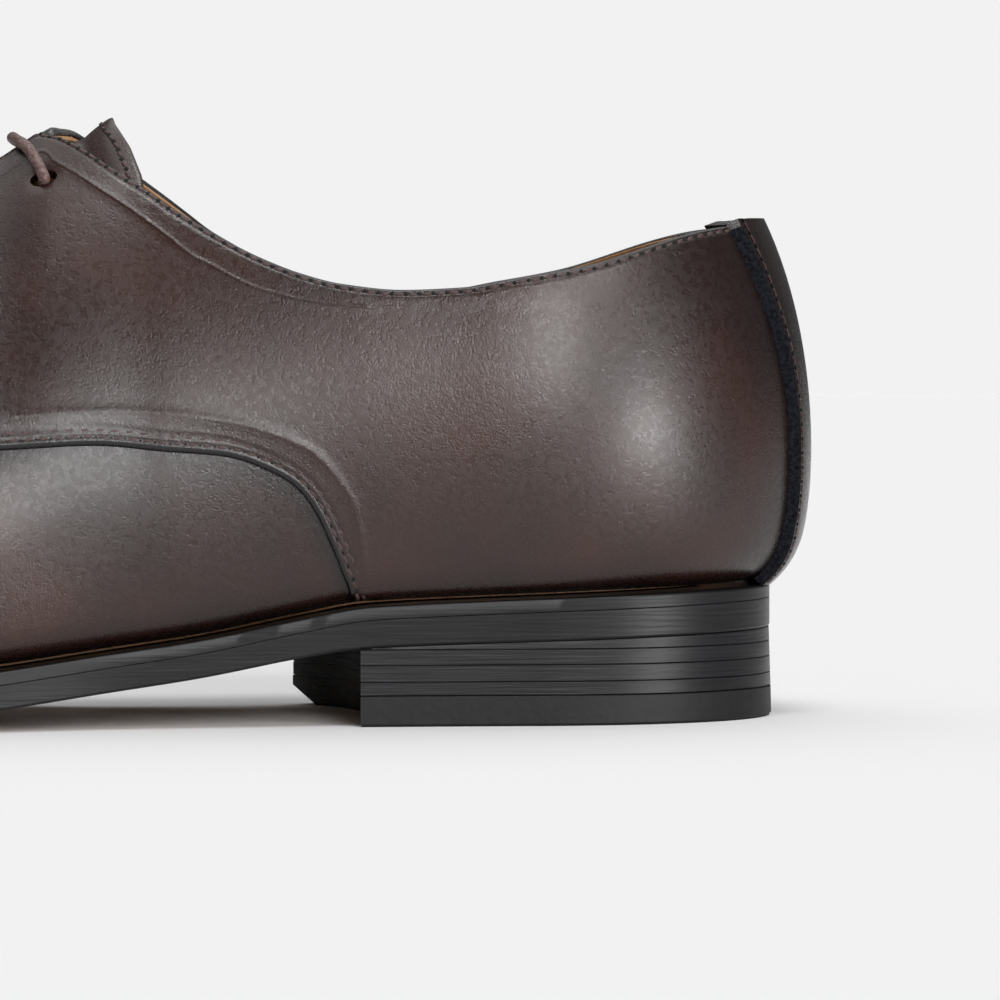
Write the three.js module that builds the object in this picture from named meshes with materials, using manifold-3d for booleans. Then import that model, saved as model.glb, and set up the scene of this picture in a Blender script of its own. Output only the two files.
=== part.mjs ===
// Left derby shoe with a plain toe, in millimetres, +Z up, toe towards +X, outer side towards +Y.
import * as THREE from "three";
import { mergeVertices } from "three/addons/utils/BufferGeometryUtils.js";
import Module from "manifold-3d";

const wasm = await Module();
wasm.setup();

// Driving sizes
const LENGTH = 300;
const BALL_WIDTH = 106;
const HEEL_WIDTH = 66;
const INSTEP_HEIGHT = 110;
const SEAT_HEIGHT = 24.2;
const WALL = 2.2;
const QUARTER_STEP = 1.2;
const GAP = 0.3;
const LACE_RADIUS = 1.15;

// Heel sizes
const HEEL_LENGTH = 77;
const TOP_PIECE = 5.5;
const TOE_CENTRE = 0.885 * LENGTH;
const HEEL_CENTRE = 0.16 * LENGTH;
const HEEL_REACH = 0.15 * LENGTH;
const TOE_REACH = 0.25 * LENGTH;
const HEEL_POWER = 2.25;
const TOE_POWER = 2.3;

// Sole outline: half widths each side of the middle line, as shares of the ball width
const OUTLINE = [
  { at: 0.0, middle: 0.0, outer: 0.305, inner: 0.3 },
  { at: 0.15, middle: 0.0, outer: 0.312, inner: 0.306 },
  { at: 0.26, middle: 0.01, outer: 0.308, inner: 0.29 },
  { at: 0.38, middle: 0.03, outer: 0.318, inner: 0.268 },
  { at: 0.5, middle: 0.04, outer: 0.39, inner: 0.328 },
  { at: 0.6, middle: 0.03, outer: 0.463, inner: 0.44 },
  { at: 0.67, middle: 0.01, outer: 0.49, inner: 0.49 },
  { at: 0.74, middle: -0.015, outer: 0.482, inner: 0.495 },
  { at: 0.82, middle: -0.045, outer: 0.455, inner: 0.455 },
  { at: 0.9, middle: -0.065, outer: 0.43, inner: 0.41 },
  { at: 1.0, middle: -0.075, outer: 0.4, inner: 0.38 },
];

// Side view of the sole: top and thickness of welt and outsole, as shares of the seat height
const PROFILE = [
  { at: 0.0, top: 1.0, thick: 0.325 },
  { at: 0.11, top: 0.957, thick: 0.318 },
  { at: 0.2, top: 0.918, thick: 0.31 },
  { at: 0.253, top: 0.885, thick: 0.303 },
  { at: 0.293, top: 0.797, thick: 0.285 },
  { at: 0.352, top: 0.652, thick: 0.279 },
  { at: 0.412, top: 0.545, thick: 0.281 },
  { at: 0.467, top: 0.45, thick: 0.281 },
  { at: 0.535, top: 0.35, thick: 0.286 },
  { at: 0.6, top: 0.302, thick: 0.294 },
  { at: 0.64, top: 0.298, thick: 0.298 },
  { at: 0.73, top: 0.298, thick: 0.298 },
  { at: 0.83, top: 0.385, thick: 0.298 },
  { at: 0.92, top: 0.54, thick: 0.298 },
  { at: 1.0, top: 0.73, thick: 0.298 },
];

// Last: crest height as a share of the instep height, crest shift off the middle line as a share of the
// ball width, radius of the lowest curve as a share of it, and for each side the lean of the wall in
// radians, its rise and the fullness of the top
const LAST = [
  { at: 0.0, crest: 1.055, shift: 0.0, roll: 0.116, leanOut: 0.36, riseOut: 0.134, fullOut: 1.45, leanIn: 0.36, riseIn: 0.134, fullIn: 1.45 },
  { at: 0.045, crest: 1.055, shift: 0.0, roll: 0.116, leanOut: 0.36, riseOut: 0.134, fullOut: 1.45, leanIn: 0.36, riseIn: 0.134, fullIn: 1.45 },
  { at: 0.16, crest: 1.055, shift: 0.0, roll: 0.08, leanOut: 0.3, riseOut: 0.3, fullOut: 1.1, leanIn: 0.3, riseIn: 0.3, fullIn: 1.1 },
  { at: 0.27, crest: 1.04, shift: -0.01, roll: 0.072, leanOut: 0.28, riseOut: 0.3, fullOut: 0.95, leanIn: 0.34, riseIn: 0.3, fullIn: 0.98 },
  { at: 0.36, crest: 1.02, shift: -0.03, roll: 0.066, leanOut: 0.26, riseOut: 0.32, fullOut: 0.72, leanIn: 0.42, riseIn: 0.32, fullIn: 0.82 },
  { at: 0.403, crest: 1.01, shift: -0.045, roll: 0.066, leanOut: 0.24, riseOut: 0.34, fullOut: 0.62, leanIn: 0.42, riseIn: 0.34, fullIn: 0.74 },
  { at: 0.438, crest: 0.982, shift: -0.055, roll: 0.066, leanOut: 0.2, riseOut: 0.36, fullOut: 0.55, leanIn: 0.38, riseIn: 0.35, fullIn: 0.68 },
  { at: 0.472, crest: 0.921, shift: -0.06, roll: 0.066, leanOut: 0.16, riseOut: 0.36, fullOut: 0.52, leanIn: 0.32, riseIn: 0.36, fullIn: 0.64 },
  { at: 0.52, crest: 0.84, shift: -0.065, roll: 0.066, leanOut: 0.1, riseOut: 0.36, fullOut: 0.52, leanIn: 0.24, riseIn: 0.36, fullIn: 0.62 },
  { at: 0.57, crest: 0.758, shift: -0.065, roll: 0.066, leanOut: 0.08, riseOut: 0.34, fullOut: 0.55, leanIn: 0.18, riseIn: 0.36, fullIn: 0.62 },
  { at: 0.62, crest: 0.684, shift: -0.06, roll: 0.066, leanOut: 0.08, riseOut: 0.32, fullOut: 0.6, leanIn: 0.14, riseIn: 0.36, fullIn: 0.64 },
  { at: 0.68, crest: 0.595, shift: -0.05, roll: 0.066, leanOut: 0.1, riseOut: 0.3, fullOut: 0.68, leanIn: 0.12, riseIn: 0.36, fullIn: 0.7 },
  { at: 0.75, crest: 0.505, shift: -0.035, roll: 0.066, leanOut: 0.12, riseOut: 0.3, fullOut: 0.76, leanIn: 0.12, riseIn: 0.36, fullIn: 0.78 },
  { at: 0.82, crest: 0.436, shift: -0.015, roll: 0.066, leanOut: 0.14, riseOut: 0.3, fullOut: 0.8, leanIn: 0.14, riseIn: 0.34, fullIn: 0.82 },
  { at: 0.885, crest: 0.39, shift: 0.0, roll: 0.064, leanOut: 0.16, riseOut: 0.3, fullOut: 0.8, leanIn: 0.16, riseIn: 0.32, fullIn: 0.82 },
  { at: 0.945, crest: 0.35, shift: 0.0, roll: 0.062, leanOut: 0.2, riseOut: 0.3, fullOut: 0.8, leanIn: 0.2, riseIn: 0.3, fullIn: 0.8 },
  { at: 1.0, crest: 0.35, shift: 0.0, roll: 0.062, leanOut: 0.2, riseOut: 0.3, fullOut: 0.8, leanIn: 0.2, riseIn: 0.3, fullIn: 0.8 },
];

// Distance of the bottom edge of the last inside the edge of the sole, as a share of the ball width
const FEATHER = [
  { at: 0.0, inset: 0.103 },
  { at: 0.1, inset: 0.09 },
  { at: 0.2, inset: 0.084 },
  { at: 0.35, inset: 0.082 },
  { at: 0.5, inset: 0.097 },
  { at: 0.66, inset: 0.115 },
  { at: 1.0, inset: 0.115 },
];

// Collar line in side view, as heights over the floor shared by the instep height
const COLLAR = [
  { at: -0.06, outer: 0.822, inner: 0.822 },
  { at: 0.0, outer: 0.822, inner: 0.822 },
  { at: 0.026, outer: 0.82, inner: 0.82 },
  { at: 0.124, outer: 0.751, inner: 0.748 },
  { at: 0.16, outer: 0.734, inner: 0.73 },
  { at: 0.196, outer: 0.717, inner: 0.713 },
  { at: 0.232, outer: 0.713, inner: 0.708 },
  { at: 0.268, outer: 0.723, inner: 0.721 },
  { at: 0.292, outer: 0.74, inner: 0.742 },
  { at: 0.316, outer: 0.766, inner: 0.775 },
  { at: 0.33, outer: 0.785, inner: 0.796 },
  { at: 0.343, outer: 0.805, inner: 0.817 },
  { at: 0.355, outer: 0.825, inner: 0.842 },
  { at: 0.368, outer: 0.848, inner: 0.869 },
  { at: 0.381, outer: 0.874, inner: 0.895 },
  { at: 0.4, outer: 0.907, inner: 0.932 },
  { at: 0.42, outer: 0.945, inner: 0.971 },
  { at: 0.43, outer: 0.961, inner: 0.985 },
  { at: 0.437, outer: 0.969, inner: 0.987 },
  { at: 0.443, outer: 0.972, inner: 0.996 },
  { at: 0.449, outer: 0.974, inner: 1.01 },
  { at: 0.456, outer: 1.0, inner: 1.03 },
  { at: 0.5, outer: 1.2, inner: 1.2 },
];

// Cut edge of the quarter over the vamp, in side view
const QUARTER_EDGE = [
  { x: 0.262, z: 0.1 },
  { x: 0.264, z: 0.207 },
  { x: 0.269, z: 0.252 },
  { x: 0.276, z: 0.3 },
  { x: 0.285, z: 0.352 },
  { x: 0.296, z: 0.391 },
  { x: 0.312, z: 0.418 },
  { x: 0.336, z: 0.441 },
  { x: 0.375, z: 0.451 },
  { x: 0.415, z: 0.461 },
  { x: 0.471, z: 0.455 },
  { x: 0.52, z: 0.452 },
  { x: 0.56, z: 0.462 },
  { x: 0.593, z: 0.49 },
  { x: 0.616, z: 0.535 },
  { x: 0.627, z: 0.59 },
  { x: 0.628, z: 0.64 },
  { x: 0.62, z: 0.7 },
  { x: 0.62, z: 0.9 },
];

// Facings: distance of each edge from the crest, at the top of the throat and at its end
const THROAT_TOP = 0.4 * LENGTH;
const THROAT_END = 0.6 * LENGTH;
const QUARTER_SLOT = 0.66 * LENGTH;
const SLOT_START = 0.33 * LENGTH;
const THROAT_EDGE = {
  outer: { top: 8.5, end: 5.5 },
  inner: { top: 5.5, end: 4.5 },
};

// Eyelets and laces
const EYELETS = 4;
const EYELET_RADIUS = 2.1;
const EYELET_DEPTH = 6;
const FIRST_EYELET = { x: 0.4453, z: 0.8955 };
const EYELET_STEP = { x: 0.039, z: -0.0627 };

// Tongue in side view and the depth it hangs below the lining
const TONGUE_EDGE = [
  { x: 0.406, z: 1.03 },
  { x: 0.402, z: 0.99 },
  { x: 0.393, z: 0.95 },
  { x: 0.386, z: 0.9 },
  { x: 0.383, z: 0.84 },
  { x: 0.4, z: 0.79 },
  { x: 0.5, z: 0.66 },
  { x: 0.64, z: 0.55 },
  { x: 0.66, z: 0.58 },
  { x: 0.66, z: 1.03 },
];
const TONGUE_SAG = [
  { at: 0.38, sag: 0.3 },
  { at: 0.402, sag: 0.7 },
  { at: 0.4153, sag: 2.4 },
  { at: 0.4227, sag: 3.6 },
  { at: 0.436, sag: 3.6 },
  { at: 0.475, sag: 1.4 },
  { at: 0.53, sag: 0.0 },
  { at: 1.0, sag: 0.0 },
];
const TONGUE_THICK = 2.0;

const lerp = THREE.MathUtils.lerp;

// Smooth reading of one column of a table, which never overshoots its rows
function column(rows, name, scale, share) {
  const last = rows.length - 1;
  const s = Math.min(Math.max(share, rows[0].at), rows[last].at);
  let i = 0;
  while (i < last - 1 && s > rows[i + 1].at) i++;
  const slope = (j) => (rows[j + 1][name] - rows[j][name]) / (rows[j + 1].at - rows[j].at);
  const tangent = (j) => {
    if (j === 0) return slope(0);
    if (j === last) return slope(last - 1);
    const before = slope(j - 1);
    const after = slope(j);
    if (before * after <= 0) return 0;
    return (2 * before * after) / (before + after);
  };
  const width = rows[i + 1].at - rows[i].at;
  const t = (s - rows[i].at) / width;
  const a = (1 + 2 * t) * (1 - t) * (1 - t);
  const b = t * (1 - t) * (1 - t) * width;
  const c = t * t * (3 - 2 * t);
  const d = t * t * (t - 1) * width;
  return scale * (a * rows[i][name] + b * tangent(i) + c * rows[i + 1][name] + d * tangent(i + 1));
}

const soleTop = (x) => column(PROFILE, "top", SEAT_HEIGHT, x / LENGTH);
const soleThick = (x) => column(PROFILE, "thick", SEAT_HEIGHT, x / LENGTH);
const soleBottom = (x) => Math.max(0, soleTop(x) - soleThick(x));
const middle = (x) => column(OUTLINE, "middle", BALL_WIDTH, x / LENGTH);

// Rims: the sole's edge moved inwards, and the foot line where the last starts
const soleRim = (inset) => ({ start: inset, end: LENGTH - inset, inset: () => inset });
const footRim = (more) => ({
  start: column(FEATHER, "inset", BALL_WIDTH, 0) + more,
  end: LENGTH - column(FEATHER, "inset", BALL_WIDTH, 1) - more,
  inset: (x) => column(FEATHER, "inset", BALL_WIDTH, x / LENGTH) + more,
});

// Points along a rim's length, close together at both rounded ends
function stations(rim, endSteps, sideSteps) {
  const heelEnd = rim.start + HEEL_REACH;
  const toeStart = rim.end - TOE_REACH;
  const out = [];
  for (let i = 0; i <= endSteps; i++) {
    out.push(rim.start + HEEL_REACH * (1 - Math.cos(((i / endSteps) * Math.PI) / 2)));
  }
  for (let i = 1; i < sideSteps; i++) out.push(lerp(heelEnd, toeStart, i / sideSteps));
  for (let i = 0; i <= endSteps; i++) {
    out.push(i === endSteps ? rim.end : toeStart + TOE_REACH * Math.sin(((i / endSteps) * Math.PI) / 2));
  }
  return out;
}

// Width place of a rim: side 1 is the outer side, -1 the inner side
function rimY(rim, x, side) {
  const half = column(OUTLINE, side > 0 ? "outer" : "inner", BALL_WIDTH, x / LENGTH) - rim.inset(x);
  const heelWay = Math.max(0, 1 - (x - rim.start) / HEEL_REACH);
  const toeWay = Math.max(0, 1 - (rim.end - x) / TOE_REACH);
  const heelRound = Math.pow(Math.max(0, 1 - Math.pow(heelWay, HEEL_POWER)), 1 / HEEL_POWER);
  const toeRound = Math.pow(Math.max(0, 1 - Math.pow(toeWay, TOE_POWER)), 1 / TOE_POWER);
  return middle(x) + side * half * heelRound * toeRound;
}

// Closed body from loose triangles
function bodyOf(triangles) {
  const flat = new Float32Array(triangles.length * 9);
  triangles.forEach((corner, i) => corner.forEach((p, j) => flat.set([p.x, p.y, p.z], i * 9 + j * 3)));
  const loose = new THREE.BufferGeometry();
  loose.setAttribute("position", new THREE.BufferAttribute(flat, 3));
  return solidOf(loose);
}

function solidOf(geometry) {
  const bare = geometry.clone();
  bare.deleteAttribute("normal");
  bare.deleteAttribute("uv");
  const joined = mergeVertices(bare, 1e-4);
  const index = joined.index.array;
  const kept = [];
  for (let i = 0; i < index.length; i += 3) {
    const [a, b, c] = [index[i], index[i + 1], index[i + 2]];
    if (a !== b && b !== c && c !== a) kept.push(a, b, c);
  }
  const mesh = new wasm.Mesh({
    numProp: 3,
    vertProperties: new Float32Array(joined.attributes.position.array),
    triVerts: new Uint32Array(kept),
  });
  return new wasm.Manifold(mesh);
}

// Grid of points to triangles; rows run along the first index
function gridFaces(grid, faces, flip) {
  for (let i = 0; i + 1 < grid.length; i++) {
    for (let j = 0; j + 1 < grid[i].length; j++) {
      const a = grid[i][j];
      const b = grid[i + 1][j];
      const c = grid[i + 1][j + 1];
      const d = grid[i][j + 1];
      if (flip) faces.push([a, c, b], [a, d, c]);
      else faces.push([a, b, c], [a, c, d]);
    }
  }
}

// Plate with the outline of the shoe between two heights that follow the sole
function plate(rim, bottom, top, to = LENGTH) {
  const xs = stations(rim, 10, 18).filter((x) => x <= to);
  const ring = (height, side) => xs.map((x) => new THREE.Vector3(x, rimY(rim, x, side), height(x)));
  const outerTop = ring(top, 1);
  const innerTop = ring(top, -1);
  const outerLow = ring(bottom, 1);
  const innerLow = ring(bottom, -1);
  const faces = [];
  gridFaces([outerTop, innerTop, innerLow, outerLow, outerTop], faces, false);
  const ends = xs.length - 1;
  if (to < LENGTH) {
    faces.push([outerTop[ends], innerTop[ends], innerLow[ends]]);
    faces.push([outerTop[ends], innerLow[ends], outerLow[ends]]);
  }
  return bodyOf(faces);
}

const FOOT_LIFT = 1.5;
const crestHeight = (x) => column(LAST, "crest", INSTEP_HEIGHT, x / LENGTH);
const crestY = (x) => middle(x) + column(LAST, "shift", BALL_WIDTH, x / LENGTH);

// Foot point and crest point of one rib of the last, and the slope of the crest there
function rib(x, side) {
  const crestX = Math.min(Math.max(x, HEEL_CENTRE), TOE_CENTRE);
  const foot = new THREE.Vector3(x, rimY(LAST_RIM, x, side), soleTop(x) + FOOT_LIFT);
  const crest = new THREE.Vector3(crestX, crestY(crestX), crestHeight(crestX));
  const near = 1.5;
  const slope = (crestHeight(crestX + near) - crestHeight(crestX - near)) / (2 * near);
  return { foot, crest, slope: crestX > HEEL_CENTRE ? slope : 0 };
}

const LAST_RIM = footRim(0);
const RIBS = stations(LAST_RIM, 9, 18);
const ROLL_STEPS = 4;
const WALL_STEPS = 15;

// Points up one rib at a distance outside the last
function ribPoints(x, side, offset) {
  const { foot, crest, slope } = rib(x, side);
  const share = foot.x / LENGTH;
  const tail = side > 0 ? "Out" : "In";
  const roll = column(LAST, "roll", BALL_WIDTH, share);
  const lean = column(LAST, "lean" + tail, 1, share);
  const rise = column(LAST, "rise" + tail, 1, share);
  const full = column(LAST, "full" + tail, 1, share);
  const reach = Math.hypot(foot.x - crest.x, foot.y - crest.y);
  const ux = (foot.x - crest.x) / reach;
  const uy = (foot.y - crest.y) / reach;
  const out = [];
  const put = (r, z, nr, nz) => {
    const distance = r + offset * nr;
    out.push(new THREE.Vector3(crest.x + ux * distance, crest.y + uy * distance, z + offset * nz));
  };
  for (let i = 0; i <= ROLL_STEPS; i++) {
    const turn = lerp(-Math.PI / 2, -lean, i / ROLL_STEPS);
    put(reach + roll * Math.cos(turn), foot.z + roll + roll * Math.sin(turn), Math.cos(turn), Math.sin(turn));
  }
  const height = crest.z - foot.z;
  const p0 = new THREE.Vector2(reach + roll * Math.cos(lean), foot.z + roll - roll * Math.sin(lean));
  const p1 = new THREE.Vector2(p0.x + rise * height * Math.sin(lean), p0.y + rise * height * Math.cos(lean));
  const p3 = new THREE.Vector2(0, crest.z);
  const p2 = new THREE.Vector2(full * reach, crest.z + slope * ux * full * reach);
  const bow = new THREE.CubicBezierCurve(p0, p1, p2, p3);
  for (let i = 1; i <= WALL_STEPS; i++) {
    const t = i / WALL_STEPS;
    const p = bow.getPoint(t);
    const d = bow.getTangent(t);
    put(p.x, p.y, i === WALL_STEPS ? 0 : d.y, i === WALL_STEPS ? 1 : -d.x);
  }
  return out;
}

// Full last form at a distance outside the last, closed below by a skirt of the given depth
function form(offset, skirt) {
  const depth = typeof offset === "function" ? offset : () => offset;
  const half = (side) => RIBS.map((x) => {
    const points = ribPoints(x, side, depth(x));
    const low = points[0].clone();
    low.z -= skirt;
    return [low, ...points];
  });
  const outer = half(1);
  const inner = half(-1);
  const faces = [];
  gridFaces(outer, faces, true);
  gridFaces(inner, faces, false);
  const lowOuter = outer.map((ring) => ring[0]);
  const lowInner = inner.map((ring) => ring[0]);
  gridFaces([lowOuter, lowInner], faces, true);
  return bodyOf(faces);
}

// Prism across the shoe from a side view, between two widths
function sidePrism(points, from, to) {
  const shape = new THREE.Shape(points.map((p) => new THREE.Vector2(p.x, p.z)));
  const geometry = new THREE.ExtrudeGeometry(shape, { depth: to - from, bevelEnabled: false });
  geometry.rotateX(Math.PI / 2);
  geometry.translate(0, to, 0);
  return solidOf(geometry);
}

// Upright prism from a plan view
function planPrism(points, from, to) {
  const shape = new THREE.Shape(points.map((p) => new THREE.Vector2(p.x, p.y)));
  const geometry = new THREE.ExtrudeGeometry(shape, { depth: to - from, bevelEnabled: false });
  geometry.translate(0, 0, from);
  return solidOf(geometry);
}

// Reach of the cutting bodies beyond the shoe, and depth of the skirt that closes a form below
const SIDE = 0.85 * BALL_WIDTH;
const SKY = 1.45 * INSTEP_HEIGHT;
const UNDER = -0.2 * INSTEP_HEIGHT;
const BEHIND = -0.1 * LENGTH;
const BEYOND = 1.1 * LENGTH;
const THROAT_FLOOR = 0.36 * INSTEP_HEIGHT;
const SKIRT = 0.11 * INSTEP_HEIGHT;
const scaled = (rows) => rows.map((row) => ({ x: row.x * LENGTH, z: row.z * INSTEP_HEIGHT }));
const smooth = (rows, steps) => {
  const curve = new THREE.SplineCurve(scaled(rows).map((p) => new THREE.Vector2(p.x, p.z)));
  return curve.getPoints(steps).map((p) => ({ x: p.x, z: p.y }));
};

// Everything above the collar line, one side
function collarCut(name, from, to, lift = 0) {
  const shares = COLLAR.flatMap((row, i) => i > 0 ? [(COLLAR[i - 1].at + row.at) / 2, row.at] : [row.at]);
  const line = shares.map((share) => ({ x: share * LENGTH, z: column(COLLAR, name, INSTEP_HEIGHT, share) + lift }));
  line.push({ x: line[line.length - 1].x, z: SKY }, { x: line[0].x, z: SKY });
  return sidePrism(line, from, to);
}

// Space below the feather, along the whole sole
function belowFeather(lift) {
  const line = [];
  const steps = 50;
  for (let i = 0; i <= steps; i++) {
    const x = lerp(BEHIND, BEYOND, i / steps);
    line.push({ x, z: soleTop(x) + lift });
  }
  line.push({ x: BEYOND, z: UNDER }, { x: BEHIND, z: UNDER });
  return sidePrism(line, -SIDE, SIDE);
}

// Place across the shoe of a facing's edge
function throatEdge(x, side, end) {
  const edge = side > 0 ? THROAT_EDGE.outer : THROAT_EDGE.inner;
  return crestY(x) + side * lerp(edge.top, edge.end, (x - THROAT_TOP) / (end - THROAT_TOP));
}

// Point outside the upper at a place in plan
function surfacePoint(x, y, side, offset) {
  const points = ribPoints(x, side, offset);
  let i = points.length - 1;
  while (i > 1 && side * (points[i - 1].y - y) < 0) i--;
  const t = (y - points[i].y) / (points[i - 1].y - points[i].y);
  return points[i].clone().lerp(points[i - 1], t);
}

// Slot between the facings, round at its toe end
function throatSlot(end) {
  const steps = 8;
  const radius = (THROAT_EDGE.outer.end + THROAT_EDGE.inner.end) / 2;
  const shift = (THROAT_EDGE.outer.end - THROAT_EDGE.inner.end) / 2;
  const turnFrom = end - radius;
  const edge = (side) => {
    const list = [new THREE.Vector2(SLOT_START, throatEdge(THROAT_TOP, side, end))];
    for (let i = 0; i <= steps; i++) {
      const x = lerp(THROAT_TOP, turnFrom, i / steps);
      list.push(new THREE.Vector2(x, throatEdge(x, side, end)));
    }
    return list;
  };
  const points = edge(1);
  for (let i = 1; i < steps; i++) {
    const turn = lerp(Math.PI / 2, -Math.PI / 2, i / steps);
    const x = turnFrom + radius * Math.cos(turn);
    points.push(new THREE.Vector2(x, crestY(x) + shift + radius * Math.sin(turn)));
  }
  points.push(...edge(-1).reverse());
  return planPrism(points, THROAT_FLOOR, SKY);
}

// Point and outward direction on the outside of the upper, found from its side view place
function onSide(x, z, side, offset) {
  const points = ribPoints(x, side, offset);
  let i = ROLL_STEPS;
  while (i < points.length - 2 && points[i + 1].z < z) i++;
  const t = (z - points[i].z) / (points[i + 1].z - points[i].z);
  const at = points[i].clone().lerp(points[i + 1], t);
  const along = points[i + 1].clone().sub(points[i]).normalize();
  const out = new THREE.Vector3(0, side * along.z, -side * along.y);
  return { at, out };
}

const QUARTER = WALL + QUARTER_STEP;
const eyelets = [];
for (let i = 0; i < EYELETS; i++) {
  const x = (FIRST_EYELET.x + EYELET_STEP.x * i) * LENGTH;
  const z = (FIRST_EYELET.z + EYELET_STEP.z * i) * INSTEP_HEIGHT;
  eyelets.push([1, -1].map((side) => onSide(x, z, side, QUARTER)));
}

function tube(points, radius) {
  const curve = new THREE.CatmullRomCurve3(points, false, "centripetal");
  const ring = new THREE.Shape();
  ring.absarc(0, 0, radius, 0, 2 * Math.PI, false);
  const steps = Math.max(2, Math.round(points.length * 1.6));
  return solidOf(new THREE.ExtrudeGeometry(ring, { steps, curveSegments: 4, extrudePath: curve, bevelEnabled: false }));
}

function eyeletHole({ at, out }) {
  const far = at.clone().addScaledVector(out, EYELET_DEPTH);
  return tube([at.clone().addScaledVector(out, -EYELET_DEPTH), at, far], EYELET_RADIUS);
}

// Upper
const BITE = 0.2;
const lastForm = form(0, SKIRT);
const feather = belowFeather(GAP);
const quarterSide = smooth(QUARTER_EDGE, 60);
const quarterTop = { x: quarterSide[quarterSide.length - 1].x, z: SKY };
const quarterRegion = [...quarterSide, quarterTop, { x: BEHIND, z: SKY }, { x: BEHIND, z: 0 }];
const quarters = form(QUARTER, 0)
  .subtract(form(WALL - BITE, SKIRT))
  .intersect(sidePrism(quarterRegion, -SIDE, SIDE))
  .subtract(throatSlot(QUARTER_SLOT));
let upper = form(WALL, 0).subtract(throatSlot(THROAT_END)).add(quarters);
upper = upper.subtract(lastForm).subtract(feather);
upper = upper.subtract(collarCut("outer", 0, SIDE)).subtract(collarCut("inner", -SIDE, BITE));
for (const pair of eyelets) for (const eyelet of pair) upper = upper.subtract(eyeletHole(eyelet));

// Backstay: half its width up the heel, as a share of the heel width, standing a little over the collar
const STRIP_THICK = 1.7;
const STRIP_RISE = 1;
const STRIP_REACH = 0.075 * LENGTH;
const STRIP = [
  { z: 0.0, half: 0.21 },
  { z: 0.55, half: 0.212 },
  { z: 0.62, half: 0.222 },
  { z: 0.7, half: 0.24 },
  { z: 0.78, half: 0.248 },
  { z: 1.0, half: 0.24 },
];
const stripSide = (side) => STRIP.map((row) => new THREE.Vector2(side * row.half * HEEL_WIDTH, row.z * INSTEP_HEIGHT));
const stripShape = new THREE.Shape([...stripSide(1), ...stripSide(-1).reverse()]);
const stripBody = new THREE.ExtrudeGeometry(stripShape, { depth: STRIP_REACH - BEHIND, bevelEnabled: false });
const lengthwise = [new THREE.Vector3(0, 1, 0), new THREE.Vector3(0, 0, 1), new THREE.Vector3(1, 0, 0)];
stripBody.applyMatrix4(new THREE.Matrix4().makeBasis(...lengthwise));
stripBody.translate(BEHIND, 0, 0);
const backstay = form(QUARTER + GAP + STRIP_THICK, 0)
  .subtract(form(QUARTER + GAP, SKIRT))
  .intersect(solidOf(stripBody))
  .subtract(collarCut("outer", -SIDE, SIDE, STRIP_RISE))
  .subtract(feather);

// Tongue
const sag = (x) => column(TONGUE_SAG, "sag", 1, x / LENGTH);
const tongue = form((x) => -GAP - sag(x), 0)
  .subtract(form((x) => -GAP - TONGUE_THICK - sag(x), SKIRT))
  .intersect(sidePrism(scaled(TONGUE_EDGE), -SIDE, SIDE));

// Insole, welt and outsole
const INSOLE_THICK = 2.8;
const WELT_THICK = 2.4;
const OUTSOLE_INSET = 0.2;
const insole = plate(footRim(GAP), (x) => soleTop(x) + GAP, (x) => soleTop(x) + GAP + INSOLE_THICK);
const welt = plate(soleRim(0), (x) => soleTop(x) - WELT_THICK, soleTop);
const outsole = plate(soleRim(OUTSOLE_INSET), soleBottom, (x) => soleTop(x) - WELT_THICK - GAP);

// Heel: breast line in plan, hollow in the middle and longer on the inner side
const BREAST = [
  { x: 1.0, y: 0.6 },
  { x: 1.0, y: 0.47 },
  { x: 0.972, y: 0.28 },
  { x: 0.965, y: 0.08 },
  { x: 0.98, y: -0.1 },
  { x: 1.03, y: -0.27 },
  { x: 1.13, y: -0.43 },
  { x: 1.15, y: -0.6 },
];
const breastLine = new THREE.SplineCurve(BREAST.map((row) => new THREE.Vector2(row.x * HEEL_LENGTH, row.y * HEEL_WIDTH)));
const heelRegion = [
  ...breastLine.getPoints(18),
  new THREE.Vector2(BEHIND, BREAST[BREAST.length - 1].y * HEEL_WIDTH),
  new THREE.Vector2(BEHIND, BREAST[0].y * HEEL_WIDTH),
].map((p) => ({ x: p.x, y: p.y })).reverse();
const HEEL_SPAN = 1.3 * HEEL_LENGTH;
const LIFT_INSET = 0.1;
const TOP_PIECE_INSET = -0.2;
const heelPlan = planPrism(heelRegion, UNDER, INSTEP_HEIGHT);
const heelFull = (inset, bottom, top) => plate(soleRim(inset), bottom, top, HEEL_SPAN).intersect(heelPlan);
const lifts = heelFull(LIFT_INSET, () => TOP_PIECE, (x) => soleBottom(x) - GAP);
const CLIP = [
  { x: 1.043, z: -0.02 },
  { x: 1.2, z: -0.02 },
  { x: 1.2, z: 0.07 },
  { x: 1.127, z: 0.03 },
];
const clipSide = CLIP.map((p) => ({ x: p.x * HEEL_LENGTH, z: p.z * INSTEP_HEIGHT }));
const topPiece = heelFull(TOP_PIECE_INSET, () => 0, () => TOP_PIECE).subtract(sidePrism(clipSide, -SIDE, 0));

// Laces: one straight bar for each pair of eyelets, over both edges of the facings
const LACE_OVER = LACE_RADIUS + 2 * GAP;
const LACE_LEAN = 0.018 * LENGTH;
const bars = eyelets.map((pair) => {
  const half = pair.map(({ at, out }, i) => {
    const side = i === 0 ? 1 : -1;
    const edgeX = at.x + LACE_LEAN;
    const edge = surfacePoint(edgeX, throatEdge(edgeX, side, THROAT_END), side, QUARTER + LACE_OVER);
    const between = at.clone().addScaledVector(out, LACE_OVER).lerp(edge, 0.5);
    const over = surfacePoint(between.x, between.y, side, QUARTER + LACE_OVER);
    const inside = at.clone().addScaledVector(out, -QUARTER);
    return [inside, at.clone(), at.clone().addScaledVector(out, LACE_OVER), over, edge];
  });
  return tube([...half[0], ...half[1].reverse()], LACE_RADIUS);
});

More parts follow.
